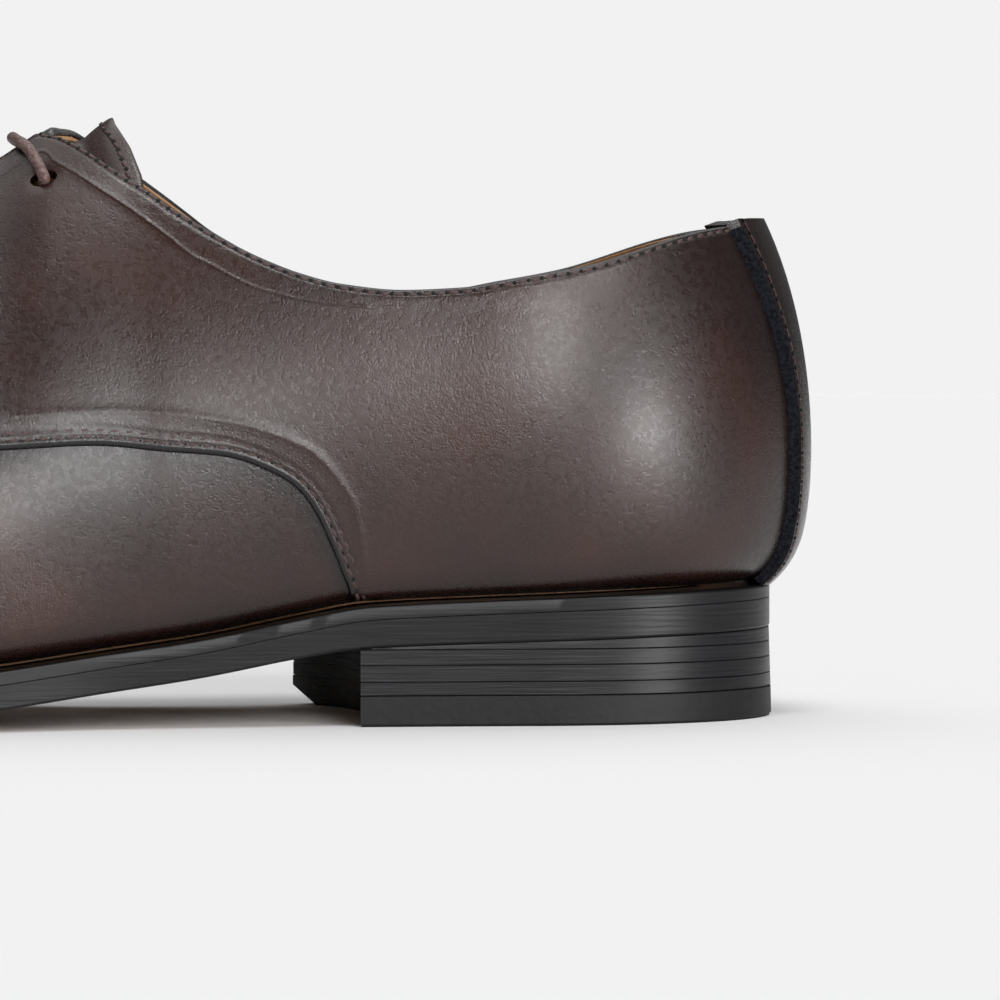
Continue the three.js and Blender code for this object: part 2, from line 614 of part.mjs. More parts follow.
// The shoe's parts, with the origin at the floor under the middle of the whole
const colours = { leather: 0x4a3028, sole: 0x3a3a3c, lining: 0xa07040, cord: 0x8a6a60 };
const parts = [
  ["upper", upper, colours.leather],
  ["backstay", backstay, colours.leather],
  ["tongue", tongue, colours.leather],
  ["insole", insole, colours.lining],
  ["welt", welt, colours.sole],
  ["outsole", outsole, colours.sole],
  ["heel-lifts", lifts, colours.sole],
  ["heel-top-piece", topPiece, colours.sole],
  ...bars.map((bar, i) => [`lace-bar-${i + 1}`, bar, colours.cord]),
];
const boxes = parts.map(([, solid]) => solid.boundingBox());
const centre = [0, 1].map((axis) => {
  const low = Math.min(...boxes.map((box) => box.min[axis]));
  const high = Math.max(...boxes.map((box) => box.max[axis]));
  return (low + high) / 2;
});

const group = new THREE.Group();
for (const [name, solid, colour] of parts) {
  const { vertProperties, triVerts } = solid.getMesh();
  const geometry = new THREE.BufferGeometry();
  geometry.setAttribute("position", new THREE.BufferAttribute(vertProperties, 3));
  geometry.setIndex(new THREE.BufferAttribute(triVerts, 1));
  geometry.translate(-centre[0], -centre[1], 0);
  geometry.computeVertexNormals();
  const mesh = new THREE.Mesh(geometry, new THREE.MeshStandardMaterial({ color: colour }));
  mesh.name = name;
  group.add(mesh);
}

export default group;
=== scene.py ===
import bpy
import math
import numpy as np
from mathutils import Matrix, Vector
from mathutils.kdtree import KDTree


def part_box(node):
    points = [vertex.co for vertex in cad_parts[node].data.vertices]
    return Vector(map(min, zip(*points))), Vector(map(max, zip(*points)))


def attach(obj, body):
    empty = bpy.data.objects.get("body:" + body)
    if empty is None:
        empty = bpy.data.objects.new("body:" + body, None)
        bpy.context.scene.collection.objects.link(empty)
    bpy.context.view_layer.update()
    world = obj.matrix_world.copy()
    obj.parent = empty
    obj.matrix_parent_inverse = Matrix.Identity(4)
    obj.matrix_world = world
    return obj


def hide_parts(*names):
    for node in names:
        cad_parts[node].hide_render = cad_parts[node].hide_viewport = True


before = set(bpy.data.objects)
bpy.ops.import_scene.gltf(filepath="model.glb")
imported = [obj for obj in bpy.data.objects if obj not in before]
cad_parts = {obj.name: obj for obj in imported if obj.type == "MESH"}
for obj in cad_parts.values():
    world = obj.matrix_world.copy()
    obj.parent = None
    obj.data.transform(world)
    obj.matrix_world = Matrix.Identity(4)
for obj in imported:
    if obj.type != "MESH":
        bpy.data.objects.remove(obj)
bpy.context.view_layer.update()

# Sizes in millimetres, from the heel's rear edge forward, before the move to the frame
LENGTH = 300.0
BALL_WIDTH = 106.0
INSTEP_HEIGHT = 110.0
SEAT_HEIGHT = 24.2
HEEL_CENTRE = 48.0
TOE_CENTRE = 265.5
HEEL_REACH = 45.0
TOE_REACH = 75.0
HEEL_POWER = 2.25
TOE_POWER = 2.3
FOOT_LIFT = 1.5
LINING_THICK = 1.0
VAMP_TOP = 2.2
QUARTER_TOP = 3.4
LACE_RADIUS = 1.15
GAP = .02
EYELET_LONG = 2.45
EYELET_SHORT = 1.8
EYELET_DEPTH = 12
RIM_RADIUS = 1.2
TOP_STITCH = 1.1
EDGE_STITCHES = (1.5, 2.65)
TOP_PITCH = 2.45
EDGE_PITCH = 2.6
TONGUE_PITCH = 2.5

# Camera
FOCAL_PIXELS = 5697.0
PICTURE = 1000.0
SENSOR = 36.0
HORIZON_PIXEL = 307.5
FOOT_PIXEL = 100.0
CAMERA_DISTANCE = 1.050
CAMERA_FORWARD = 0.1235
CAMERA_HEIGHT = 0.075

shift_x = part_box("welt")[0].x
camera_data = bpy.data.cameras.new("camera")
camera_data.lens = FOCAL_PIXELS * SENSOR / PICTURE
camera_data.sensor_width = SENSOR
camera_data.clip_start = 0.01
camera = bpy.data.objects.new("camera", camera_data)
bpy.context.scene.collection.objects.link(camera)
camera.location = (CAMERA_FORWARD + shift_x, CAMERA_DISTANCE, CAMERA_HEIGHT)
yaw = math.atan((PICTURE / 2 - FOOT_PIXEL) / FOCAL_PIXELS)
pitch = math.atan((PICTURE / 2 - HORIZON_PIXEL) / FOCAL_PIXELS)
camera.rotation_euler = (math.pi / 2 - pitch, 0, math.pi - yaw)
bpy.context.scene.camera = camera

# Tables, one row per section, as shares of the sizes above
OUTLINE = {
    "at": [0, .15, .26, .38, .5, .6, .67, .74, .82, .9, 1],
    "middle": [0, 0, .01, .03, .04, .03, .01, -.015, -.045, -.065, -.075],
    "outer": [.305, .312, .308, .318, .39, .463, .49, .482, .455, .43, .4],
    "inner": [.3, .306, .29, .268, .328, .44, .49, .495, .455, .41, .38],
}
PROFILE = {
    "at": [0, .11, .2, .253, .293, .352, .412, .467, .535, .6, .64, .73, .83, .92, 1],
    "top": [1, .957, .918, .885, .797, .652, .545, .45, .35, .302, .298, .298, .385, .54, .73],
    "thick": [.325, .318, .31, .303, .285, .279, .281, .281, .286, .294, .298, .298, .298, .298, .298],
}
LAST = {
    "at": [0, .045, .16, .27, .36, .403, .438, .472, .52, .57, .62, .68, .75, .82, .885, .945, 1],
    "crest": [1.055, 1.055, 1.055, 1.04, 1.02, 1.01, .982, .921, .84,
              .758, .684, .595, .505, .436, .39, .35, .35],
    "shift": [0, 0, 0, -.01, -.03, -.045, -.055, -.06, -.065, -.065, -.06, -.05, -.035, -.015, 0, 0, 0],
    "roll": [.116, .116, .08, .072] + [.066] * 10 + [.064, .062, .062],
    "lean_outer": [.36, .36, .3, .28, .26, .24, .2, .16, .1, .08, .08, .1, .12, .14, .16, .2, .2],
    "rise_outer": [.134, .134, .3, .3, .32, .34, .36, .36, .36, .34, .32, .3, .3, .3, .3, .3, .3],
    "full_outer": [1.45, 1.45, 1.1, .95, .72, .62, .55, .52, .52, .55, .6, .68, .76, .8, .8, .8, .8],
    "lean_inner": [.36, .36, .3, .34, .42, .42, .38, .32, .24, .18, .14, .12, .12, .14, .16, .2, .2],
    "rise_inner": [.134, .134, .3, .3, .32, .34, .35, .36, .36, .36, .36, .36, .36, .34, .32, .3, .3],
    "full_inner": [1.45, 1.45, 1.1, .98, .82, .74, .68, .64, .62, .62, .64, .7, .78, .82, .82, .8, .8],
}
FEATHER = {
    "at": [0, .1, .2, .35, .5, .66, 1],
    "inset": [.103, .09, .084, .082, .097, .115, .115],
}
COLLAR = {
    "at": [-0.06, 0, 0.026, 0.124, 0.16, 0.196, 0.232, 0.268, 0.292, 0.316, 0.33, 0.343,
           0.355, 0.368, 0.381, 0.4, 0.42, 0.43, 0.437, 0.443, 0.449, 0.456, 0.5],
    "outer": [0.822, 0.822, 0.82, 0.751, 0.734, 0.717, 0.713, 0.723, 0.74, 0.766, 0.785, 0.805,
              0.825, 0.848, 0.874, 0.907, 0.945, 0.961, 0.969, 0.972, 0.974, 1, 1.2],
    "inner": [0.822, 0.822, 0.82, 0.748, 0.73, 0.713, 0.708, 0.721, 0.742, 0.775, 0.796, 0.817,
              0.842, 0.869, 0.895, 0.932, 0.971, 0.985, 0.987, 0.996, 1.01, 1.03, 1.2],
}
QUARTER_EDGE = {
    "x": [.262, .264, .269, .276, .285, .296, .312, .336, .375, .415,
          .471, .52, .56, .593, .616, .627, .628, .62],
    "z": [.1, .207, .252, .3, .352, .391, .418, .441, .451, .461,
          .455, .452, .462, .49, .535, .59, .64, .7],
}
STAY = {
    "x": [150, 143, 134.6, 131.5, 127.8, 123.1, 117.5, 111.9, 106.9, 104.2, 97.1, 91, 84, 76],
    "z": [92.5, 97.6, 103.2, 101.4, 99.2, 96.1, 92.4, 88.2, 84.2, 82.9, 79.1, 77.2, 75.9, 75.1],
}
FOLD = {
    "x": [175, 160, 141, 127, 112.7, 98.4, 88.8, 84.2, 79.7, 78.3, 77, 76],
    "z": [57.5, 56.5, 55.8, 56.5, 56.2, 54.2, 50.9, 47.8, 42.1, 39.1, 32, 22],
}
THROAT_TOP = 120.0
THROAT_FRONT = 198.0
THROAT_OUTER = (8.5, 5.5)
THROAT_INNER = (5.5, 4.5)
EYELETS = 4
FIRST_EYELET = (.4453, .8955)
EYELET_STEP = (.039, -.0627)


# Smooth reading of one column of a table, which never overshoots its rows
def column(rows, name, scale, share):
    at = np.array(rows["at"], float)
    value = np.array(rows[name], float)
    s = np.clip(np.asarray(share, float), at[0], at[-1])
    slope = np.diff(value) / np.diff(at)
    tangent = np.empty(len(at))
    tangent[0] = slope[0]
    tangent[-1] = slope[-1]
    before, after = slope[:-1], slope[1:]
    same_way = before * after > 0
    total = np.where(same_way, before + after, 1)
    tangent[1:-1] = np.where(same_way, 2 * before * after / total, 0)
    i = np.clip(np.searchsorted(at, s, side="left") - 1, 0, len(at) - 2)
    width = at[i + 1] - at[i]
    t = (s - at[i]) / width
    a = (1 + 2 * t) * (1 - t) ** 2
    b = t * (1 - t) ** 2 * width
    c = t * t * (3 - 2 * t)
    d = t * t * (t - 1) * width
    return scale * (a * value[i] + b * tangent[i] + c * value[i + 1] + d * tangent[i + 1])


def sole_top(x):
    return column(PROFILE, "top", SEAT_HEIGHT, x / LENGTH)


def sole_bottom(x):
    return np.maximum(0, sole_top(x) - column(PROFILE, "thick", SEAT_HEIGHT, x / LENGTH))


def middle(x):
    return column(OUTLINE, "middle", BALL_WIDTH, x / LENGTH)


def crest_height(x):
    return column(LAST, "crest", INSTEP_HEIGHT, x / LENGTH)


def crest_y(x):
    return middle(x) + column(LAST, "shift", BALL_WIDTH, x / LENGTH)


class Rim:
    """A line round the shoe in plan: the sole's edge, or the foot line of the last."""

    def __init__(self, start, end, inset):
        self.start, self.end, self.inset = start, end, inset

    def y(self, x, side):
        outer = column(OUTLINE, "outer", BALL_WIDTH, x / LENGTH)
        inner = column(OUTLINE, "inner", BALL_WIDTH, x / LENGTH)
        half = np.where(side > 0, outer, inner) - self.inset(x)
        heel_way = np.clip(1 - (x - self.start) / HEEL_REACH, 0, 1)
        toe_way = np.clip(1 - (self.end - x) / TOE_REACH, 0, 1)
        heel_round = (1 - heel_way ** HEEL_POWER) ** (1 / HEEL_POWER)
        toe_round = (1 - toe_way ** TOE_POWER) ** (1 / TOE_POWER)
        return middle(x) + side * half * heel_round * toe_round

    def stations(self, side, count, low=0.0, high=LENGTH):
        """Places along the length, evenly spread along the line itself."""
        turn = np.linspace(0, math.pi / 2, 400)
        xs = np.concatenate([
            self.start + HEEL_REACH * (1 - np.cos(turn)),
            np.linspace(self.start + HEEL_REACH, self.end - TOE_REACH, 400)[1:-1],
            self.end - TOE_REACH + TOE_REACH * np.sin(turn),
        ])
        xs = np.clip(xs, self.start, self.end)
        ys = self.y(xs, side)
        run = np.concatenate([[0], np.cumsum(np.hypot(np.diff(xs), np.diff(ys)))])
        first = np.interp(max(low, self.start), xs, run)
        last = np.interp(min(high, self.end), xs, run)
        return np.interp(np.linspace(first, last, count), run, xs)


def sole_rim(inset):
    return Rim(inset, LENGTH - inset, lambda x: inset)


def foot_inset(x):
    return column(FEATHER, "inset", BALL_WIDTH, x / LENGTH)


FOOT_RIM = Rim(float(foot_inset(0.0)), LENGTH - float(foot_inset(LENGTH)), foot_inset)
RIB_POINTS = 220
ROLL_POINTS = 40


class Ribs:
    """Dense lines up the last at the given places: points, outward directions and run along each."""

    def __init__(self, xs, sides):
        xs = np.asarray(xs, float)
        sides = np.asarray(sides, float)
        share = xs / LENGTH
        crest_x = np.clip(xs, HEEL_CENTRE, TOE_CENTRE)
        foot_y = FOOT_RIM.y(xs, sides)
        foot_z = sole_top(xs) + FOOT_LIFT
        top_y, top_z = crest_y(crest_x), crest_height(crest_x)
        near = 1.5
        slope = (crest_height(crest_x + near) - crest_height(crest_x - near)) / (2 * near)
        slope = np.where(crest_x > HEEL_CENTRE, slope, 0)

        def pick(name):
            outer = column(LAST, name + "_outer", 1, share)
            inner = column(LAST, name + "_inner", 1, share)
            return np.where(sides > 0, outer, inner)

        roll = column(LAST, "roll", BALL_WIDTH, share)
        lean, rise, full = pick("lean"), pick("rise"), pick("full")
        reach = np.hypot(xs - crest_x, foot_y - top_y)
        ux, uy = (xs - crest_x) / reach, (foot_y - top_y) / reach
        turn = -math.pi / 2 + (math.pi / 2 - lean)[:, None] * np.linspace(0, 1, ROLL_POINTS)[None]
        roll_r = reach[:, None] + roll[:, None] * np.cos(turn)
        roll_z = (foot_z + roll)[:, None] + roll[:, None] * np.sin(turn)
        height = top_z - foot_z
        r0 = reach + roll * np.cos(lean)
        z0 = foot_z + roll - roll * np.sin(lean)
        r1 = r0 + rise * height * np.sin(lean)
        z1 = z0 + rise * height * np.cos(lean)
        r2 = full * reach
        z2 = top_z + slope * ux * full * reach
        t = np.linspace(0, 1, RIB_POINTS - ROLL_POINTS + 1)[None, 1:]
        back = 1 - t

        def bow(a, b, c, d):
            place = back ** 3 * a[:, None] + 3 * back ** 2 * t * b[:, None]
            place = place + 3 * back * t ** 2 * c[:, None] + t ** 3 * d[:, None]
            pace = back ** 2 * (b - a)[:, None] + 2 * back * t * (c - b)[:, None] + t ** 2 * (d - c)[:, None]
            return place, pace

        wall_r, pace_r = bow(r0, r1, r2, np.zeros_like(r0))
        wall_z, pace_z = bow(z0, z1, z2, top_z)
        size = np.hypot(pace_r, pace_z)
        self.r = np.concatenate([roll_r, wall_r], 1)
        self.z = np.concatenate([roll_z, wall_z], 1)
        self.nr = np.concatenate([np.cos(turn), pace_z / size], 1)
        self.nz = np.concatenate([np.sin(turn), -pace_r / size], 1)
        self.nr[:, -1], self.nz[:, -1] = 0, 1
        self.ux, self.uy, self.crest_x, self.top_y = ux, uy, crest_x, top_y
        step = np.hypot(np.diff(self.r, axis=1), np.diff(self.z, axis=1))
        self.run = np.concatenate([np.zeros((len(xs), 1)), np.cumsum(step, 1)], 1)
        self.xs, self.sides = xs, sides

    def run_at_height(self, z, offset):
        """Run along each rib where the surface at this offset reaches a height."""
        level = self.z + offset * self.nz
        level = np.maximum.accumulate(level, axis=1)
        return np.array([np.interp(h, level[i], self.run[i]) for i, h in enumerate(z)])

    def run_to_line(self, height, offset):
        """Run along each rib where the surface at this offset crosses a height that depends on the place."""
        x = self.crest_x[:, None] + self.ux[:, None] * (self.r + offset * self.nr)
        level = self.z + offset * self.nz - height(x, self.sides[:, None])
        level = np.maximum.accumulate(level, axis=1)
        return np.array([np.interp(0, level[i], self.run[i]) for i in range(len(self.xs))])

    def run_at_reach(self, r, offset):
        """Run along each rib where the surface at this offset is this far from the crest in plan."""
        out = []
        for i, distance in enumerate(r):
            far = (self.r[i] + offset * self.nr[i])[::-1]
            far = np.maximum.accumulate(far)
            out.append(np.interp(distance, far, self.run[i][::-1]))
        return np.array(out)

    def points(self, run, offset):
        """Points at runs and offsets, both as arrays of ribs by rows."""
        out = np.empty(run.shape + (3,))
        offset = np.broadcast_to(offset, run.shape)
        for i in range(len(self.xs)):
            r = np.interp(run[i], self.run[i], self.r[i])
            z = np.interp(run[i], self.run[i], self.z[i])
            nr = np.interp(run[i], self.run[i], self.nr[i])
            nz = np.interp(run[i], self.run[i], self.nz[i])
            size = np.hypot(nr, nz)
            away = r + offset[i] * nr / size
            out[i, :, 0] = self.crest_x[i] + self.ux[i] * away
            out[i, :, 1] = self.top_y[i] + self.uy[i] * away
            out[i, :, 2] = z + offset[i] * nz / size
        return out


def to_frame(points):
    return points * 0.001 + np.array([shift_x, shift_y, 0])


rim_x = sole_rim(0.0).stations(1, 600)
widest = float(np.max(sole_rim(0.0).y(rim_x, 1))) * 0.001
shift_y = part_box("welt")[1].y - widest


# Mesh making
def closed_normals(piece, merge=False):
    """Merges doubled points if asked and turns every face outward."""
    bpy.ops.object.select_all(action="DESELECT")
    piece.select_set(True)
    bpy.context.view_layer.objects.active = piece
    bpy.ops.object.mode_set(mode="EDIT")
    bpy.ops.mesh.select_all(action="SELECT")
    if merge:
        bpy.ops.mesh.remove_doubles(threshold=1e-6)
    bpy.ops.mesh.normals_make_consistent(inside=False)
    bpy.ops.object.mode_set(mode="OBJECT")


def subtract(piece, cutter):
    """Cuts one body out of a piece and removes it."""
    cut = piece.modifiers.new("cut", "BOOLEAN")
    cut.operation = "DIFFERENCE"
    cut.object = cutter
    bpy.context.view_layer.objects.active = piece
    bpy.ops.object.modifier_apply(modifier=cut.name)
    bpy.data.objects.remove(cutter, do_unlink=True)


def make_piece(name, vertices, faces, material, smooth_angle=40):
    mesh = bpy.data.meshes.new(name)
    mesh.from_pydata(to_frame(np.asarray(vertices)).tolist(), [], faces)
    mesh.validate()
    piece = bpy.data.objects.new(name, mesh)
    bpy.context.scene.collection.objects.link(piece)
    closed_normals(piece, merge=True)
    bpy.ops.object.shade_smooth_by_angle(angle=math.radians(smooth_angle))
    piece.data.materials.append(material)
    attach(piece, "root")
    return piece


def grid_faces(rows, cols, start=0):
    """Quads of a grid of points stored row by row."""
    a = (np.arange(rows - 1)[:, None] * cols + np.arange(cols - 1)[None]).ravel() + start
    return np.stack([a, a + cols, a + cols + 1, a + 1], 1).tolist()


def shell(outer, inner):
    """Closed body between two grids of the same size."""
    rows, cols = outer.shape[:2]
    count = rows * cols
    vertices = np.concatenate([outer.reshape(-1, 3), inner.reshape(-1, 3)])
    faces = grid_faces(rows, cols) + [f[::-1] for f in grid_faces(rows, cols, count)]
    border = list(range(cols)) + [r * cols + cols - 1 for r in range(1, rows)]
    border += [(rows - 1) * cols + c for c in range(cols - 2, -1, -1)]
    border += [r * cols for r in range(rows - 2, 0, -1)]
    for a, b in zip(border, border[1:] + border[:1]):
        faces.append([a, b, b + count, a + count])
    return vertices, faces


# Materials
DYE_SCALE = 22
FINE_GRAIN = 3000
SOFT_GRAIN = 800
WRINKLES = 300


def new_material(name):
    material = bpy.data.materials.new(name)
    material.use_nodes = True
    nodes = material.node_tree.nodes
    return material, nodes, material.node_tree.links, nodes["Principled BSDF"]


def noise_at(nodes, links, scale, detail, stretch=None):
    """Noise in object space, stretched along the axes if asked."""
    place = nodes.new("ShaderNodeTexCoord")
    noise = nodes.new("ShaderNodeTexNoise")
    noise.inputs["Scale"].default_value = scale
    noise.inputs["Detail"].default_value = detail
    if stretch is None:
        links.new(place.outputs["Object"], noise.inputs["Vector"])
    else:
        mapping = nodes.new("ShaderNodeMapping")
        mapping.inputs["Scale"].default_value = stretch
        links.new(place.outputs["Object"], mapping.inputs["Vector"])
        links.new(mapping.outputs["Vector"], noise.inputs["Vector"])
    return noise.outputs["Fac"]


def ramp(nodes, links, source, low, high, dark, light):
    tones = nodes.new("ShaderNodeValToRGB")
    tones.color_ramp.elements[0].position = low
    tones.color_ramp.elements[0].color = (*dark, 1)
    tones.color_ramp.elements[1].position = high
    tones.color_ramp.elements[1].color = (*light, 1)
    links.new(source, tones.inputs["Fac"])
    return tones.outputs["Color"]


def attribute(nodes, name):
    node = nodes.new("ShaderNodeAttribute")
    node.attribute_name = name
    return node.outputs["Fac"]


def scaled_value(nodes, links, source, low, high, to_low, to_high):
    node = nodes.new("ShaderNodeMapRange")
    node.interpolation_type = "SMOOTHSTEP"
    node.inputs["From Min"].default_value = low
    node.inputs["From Max"].default_value = high
    node.inputs["To Min"].default_value = to_low
    node.inputs["To Max"].default_value = to_high
    links.new(source, node.inputs["Value"])
    return node.outputs["Result"]


def sum_of(nodes, links, sources):
    total = sources[0]
    for source in sources[1:]:
        node = nodes.new("ShaderNodeMath")
        node.operation = "ADD"
        links.new(total, node.inputs[0])
        links.new(source, node.inputs[1])
        total = node.outputs["Value"]
    return total


def bump(nodes, links, shader, height, distance):
    node = nodes.new("ShaderNodeBump")
    node.inputs["Distance"].default_value = distance
    links.new(height, node.inputs["Height"])
    links.new(node.outputs["Normal"], shader.inputs["Normal"])


def blend(nodes, links, factor, a, b):
    mix = nodes.new("ShaderNodeMix")
    mix.data_type = "RGBA"
    links.new(factor, mix.inputs["Factor"])
    links.new(a, mix.inputs["A"])
    if isinstance(b, tuple):
        mix.inputs["B"].default_value = (*b, 1)
    else:
        links.new(b, mix.inputs["B"])
    return mix.outputs["Result"]


def calf(name, dark, warm, shade_and_edge_tone, roughness, creased):
    """Waxed calf: uneven dye, fine grain, darkened where the attribute says: painted shade at the feather,
    beside the backstay and under the quarter's edge, plus inked and darker cut and top edges.
    """
    material, nodes, links, shader = new_material(name)
    patches = noise_at(nodes, links, DYE_SCALE, 4)
    colour = ramp(nodes, links, patches, .36, .66, dark, warm)
    # Blends towards a near-black brown where the attribute is high: mostly painted shade, partly inked and
    # darker edges
    colour = blend(nodes, links, attribute(nodes, "painted_shade_and_dark_edges"), colour, shade_and_edge_tone)
    links.new(colour, shader.inputs["Base Color"])
    fine = noise_at(nodes, links, FINE_GRAIN, 2)
    soft = noise_at(nodes, links, SOFT_GRAIN, 3)
    heights = [
        scaled_value(nodes, links, fine, .3, .7, 0, .026),
        scaled_value(nodes, links, soft, .3, .7, 0, .015),
    ]
    if creased:
        stay = attribute(nodes, "stay")
        heights.append(scaled_value(nodes, links, stay, -.45, 0, 0, .08))
        heights.append(scaled_value(nodes, links, stay, 0, .6, 0, -.1))
        fold = attribute(nodes, "fold")
        heights.append(scaled_value(nodes, links, fold, -.7, .1, 0, .06))
        heights.append(scaled_value(nodes, links, fold, .1, 1.2, 0, -.08))
        wrinkles = noise_at(nodes, links, WRINKLES, 2, (1, 1, 2.2))
        near = scaled_value(nodes, links, attribute(nodes, "rim"), 1.6, 6.0, .12, 0)
        both = nodes.new("ShaderNodeMath")
        both.operation = "MULTIPLY"
        links.new(wrinkles, both.inputs[0])
        links.new(near, both.inputs[1])
        heights.append(both.outputs["Value"])
    bump(nodes, links, shader, sum_of(nodes, links, heights), 0.001)
    uneven = scaled_value(nodes, links, soft, .25, .75, roughness - .05, roughness + .07)
    links.new(uneven, shader.inputs["Roughness"])
    shader.inputs["Coat Weight"].default_value = .15
    shader.inputs["Coat Roughness"].default_value = .22
    return material


def plain(name, dark, light, roughness, scale, depth, stretch=None, low=.3, high=.7):
    """One material of two tones with a noise bump."""
    material, nodes, links, shader = new_material(name)
    grain = noise_at(nodes, links, scale, 5, stretch)
    links.new(ramp(nodes, links, grain, low, high, dark, light), shader.inputs["Base Color"])
    bump(nodes, links, shader, grain, depth)
    shader.inputs["Roughness"].default_value = roughness
    return material


EDGE_SHINE = .3
RAW_SHINE = .08
DARK_BROWN = (.014, .0056, .0044)
WARM_BROWN = (.036, .0122, .0078)
# Near-black brown for painted shade and for the inked, darker edges of the calf pieces
SHADE_AND_EDGE_BROWN = (.0035, .0024, .0025)
EDGE_BLACK = (.0035, .0035, .004)
quarter_calf = calf("brown calf", DARK_BROWN, WARM_BROWN, SHADE_AND_EDGE_BROWN, .27, True)
smooth_calf = calf("brown calf smooth", DARK_BROWN, WARM_BROWN, SHADE_AND_EDGE_BROWN, .27, False)
raw_edge = plain("raw leather edge", (.0015, .0015, .0022), (.014, .015, .02), .9, 1500, .0006)
tan_lining = plain("tan lining", (.26, .125, .045), (.36, .19, .075), .6, 900, .00012)
tan_insole = plain("tan insole", (.24, .12, .05), (.34, .18, .08), .6, 500, .00012)
inked_edge = plain("inked sole edge", EDGE_BLACK, (.009, .009, .0105), .36, 260, .00005, (.25, .25, 7))
heel_edge = plain("stacked heel edge", EDGE_BLACK, (.011, .011, .013), .36, 300, .00006, (.2, .2, 8))
breast_face = plain("rough heel breast", (.003, .003, .003), (.03, .028, .026), .75, 400, .0006, (1, .4, 5))
sole_leather = plain("natural sole leather", (.21, .13, .075), (.33, .22, .13), .5, 260, .0001)
top_rubber = plain("top piece rubber", (.005, .005, .0055), (.009, .009, .01), .5, 700, .00006)
lace_cord = plain("waxed lace", (.05, .024, .02), (.2, .125, .115), .5, 1500, .0003)
thread = plain("brown thread", (.03, .014, .012), (.07, .036, .032), .5, 2600, .00015)
# Near-black beads: painted shade where the needle-holes are
painted_hole_shade = plain("painted needle-hole shade", (.002, .0015, .0015), (.004, .003, .003), .9, 900, .0001)
shines = ((raw_edge, RAW_SHINE), (inked_edge, EDGE_SHINE), (heel_edge, EDGE_SHINE), (top_rubber, EDGE_SHINE))
for dull, shine in shines:
    dull.node_tree.nodes["Principled BSDF"].inputs["Specular IOR Level"].default_value = shine


def set_values(piece, name, values):
    layer = piece.data.attributes.new(name, "FLOAT", "POINT")
    layer.data.foreach_set("value", np.asarray(values, np.float32))


# Lines of the pattern, in side view
def spline(p, steps):
    """Smooth line through points in two or three dimensions."""
    p = np.concatenate([[2 * p[0] - p[1]], p, [2 * p[-1] - p[-2]]])
    t = np.linspace(0, len(p) - 3, steps)
    i = np.minimum(t.astype(int), len(p) - 4)
    u = (t - i)[:, None]
    a, b, c, d = p[i], p[i + 1], p[i + 2], p[i + 3]
    curve = 2 * b + (c - a) * u + (2 * a - 5 * b + 4 * c - d) * u ** 2 + (3 * b - a - 3 * c + d) * u ** 3
    return 0.5 * curve


def smooth_line(x, z, steps):
    """Smooth line through the points of a side view, in millimetres."""
    return spline(np.stack([np.array(x, float), np.array(z, float)], 1), steps)


edge_x = np.array(QUARTER_EDGE["x"]) * LENGTH
edge_z = np.array(QUARTER_EDGE["z"]) * INSTEP_HEIGHT
quarter_line = smooth_line(edge_x, edge_z, 900)
QUARTER_FRONT = float(quarter_line[:, 0].max())
front_row = int(quarter_line[:, 0].argmax())
low_line = quarter_line[:front_row + 1]
low_x = np.maximum.accumulate(low_line[:, 0])
high_line = quarter_line[front_row:]
stay_line = smooth_line(STAY["x"], STAY["z"], 300)
fold_line = smooth_line(FOLD["x"], FOLD["z"], 300)


def collar_height(x, side):
    outer = column(COLLAR, "outer", INSTEP_HEIGHT, x / LENGTH)
    inner = column(COLLAR, "inner", INSTEP_HEIGHT, x / LENGTH)
    return np.where(side > 0, outer, inner)


def throat_reach(x, side):
    """Distance of a facing's edge from the crest."""
    share = np.maximum((x - THROAT_TOP) / (THROAT_FRONT - THROAT_TOP), 0)
    outer = THROAT_OUTER[0] + (THROAT_OUTER[1] - THROAT_OUTER[0]) * share
    inner = THROAT_INNER[0] + (THROAT_INNER[1] - THROAT_INNER[0]) * share
    return np.where(side > 0, outer, inner)


def top_run(ribs, offset):
    """Run of the collar and facing edge along each rib."""
    by_collar = ribs.run_to_line(collar_height, offset)
    by_throat = ribs.run_at_reach(throat_reach(ribs.xs, ribs.sides), offset)
    return np.minimum(by_collar, by_throat)


def feather_run(ribs, offset, lift=0.1):
    return ribs.run_at_height(sole_top(ribs.xs) + lift, offset)


def spaced_rows(low, high, near_low, near_high, count):
    """Runs from low to high on each rib, with fixed steps close to each end."""
    span = high - low
    room = near_low[-1] + near_high[-1]
    scale = np.minimum(1, span / (1.5 * room))[:, None]
    first = low[:, None] + np.array(near_low)[None] * scale
    last = high[:, None] - np.array(near_high)[None, ::-1] * scale
    share = np.linspace(0, 1, count + 2)[None, 1:-1]
    between = first[:, -1:] * (1 - share) + last[:, :1] * share
    return np.concatenate([first, between, last], 1)


def distance_to_line(points, line):
    """Shortest distance of each point to a polyline, in two or three dimensions."""
    flat = points.reshape(-1, points.shape[-1])
    a, b = line[:-1], line[1:]
    ab = b - a
    length = np.maximum((ab ** 2).sum(1), 1e-12)
    out = np.full(len(flat), 1e9)
    for first in range(0, len(flat), 2000):
        ap = flat[first:first + 2000][:, None] - a[None]
        t = np.clip((ap * ab[None]).sum(2) / length[None], 0, 1)
        gap = ap - t[:, :, None] * ab[None]
        out[first:first + 2000] = np.sqrt((gap ** 2).sum(2).min(1))
    return out.reshape(points.shape[:-1])


def above_line(points, line):
    """Distance to a line of the side view, positive above it."""
    order = np.argsort(line[:, 0])
    level = np.interp(points[..., 0], line[order, 0], line[order, 1])
    sign = np.where(points[..., 2] > level, 1.0, -1.0)
    return sign * distance_to_line(points[..., [0, 2]], line)


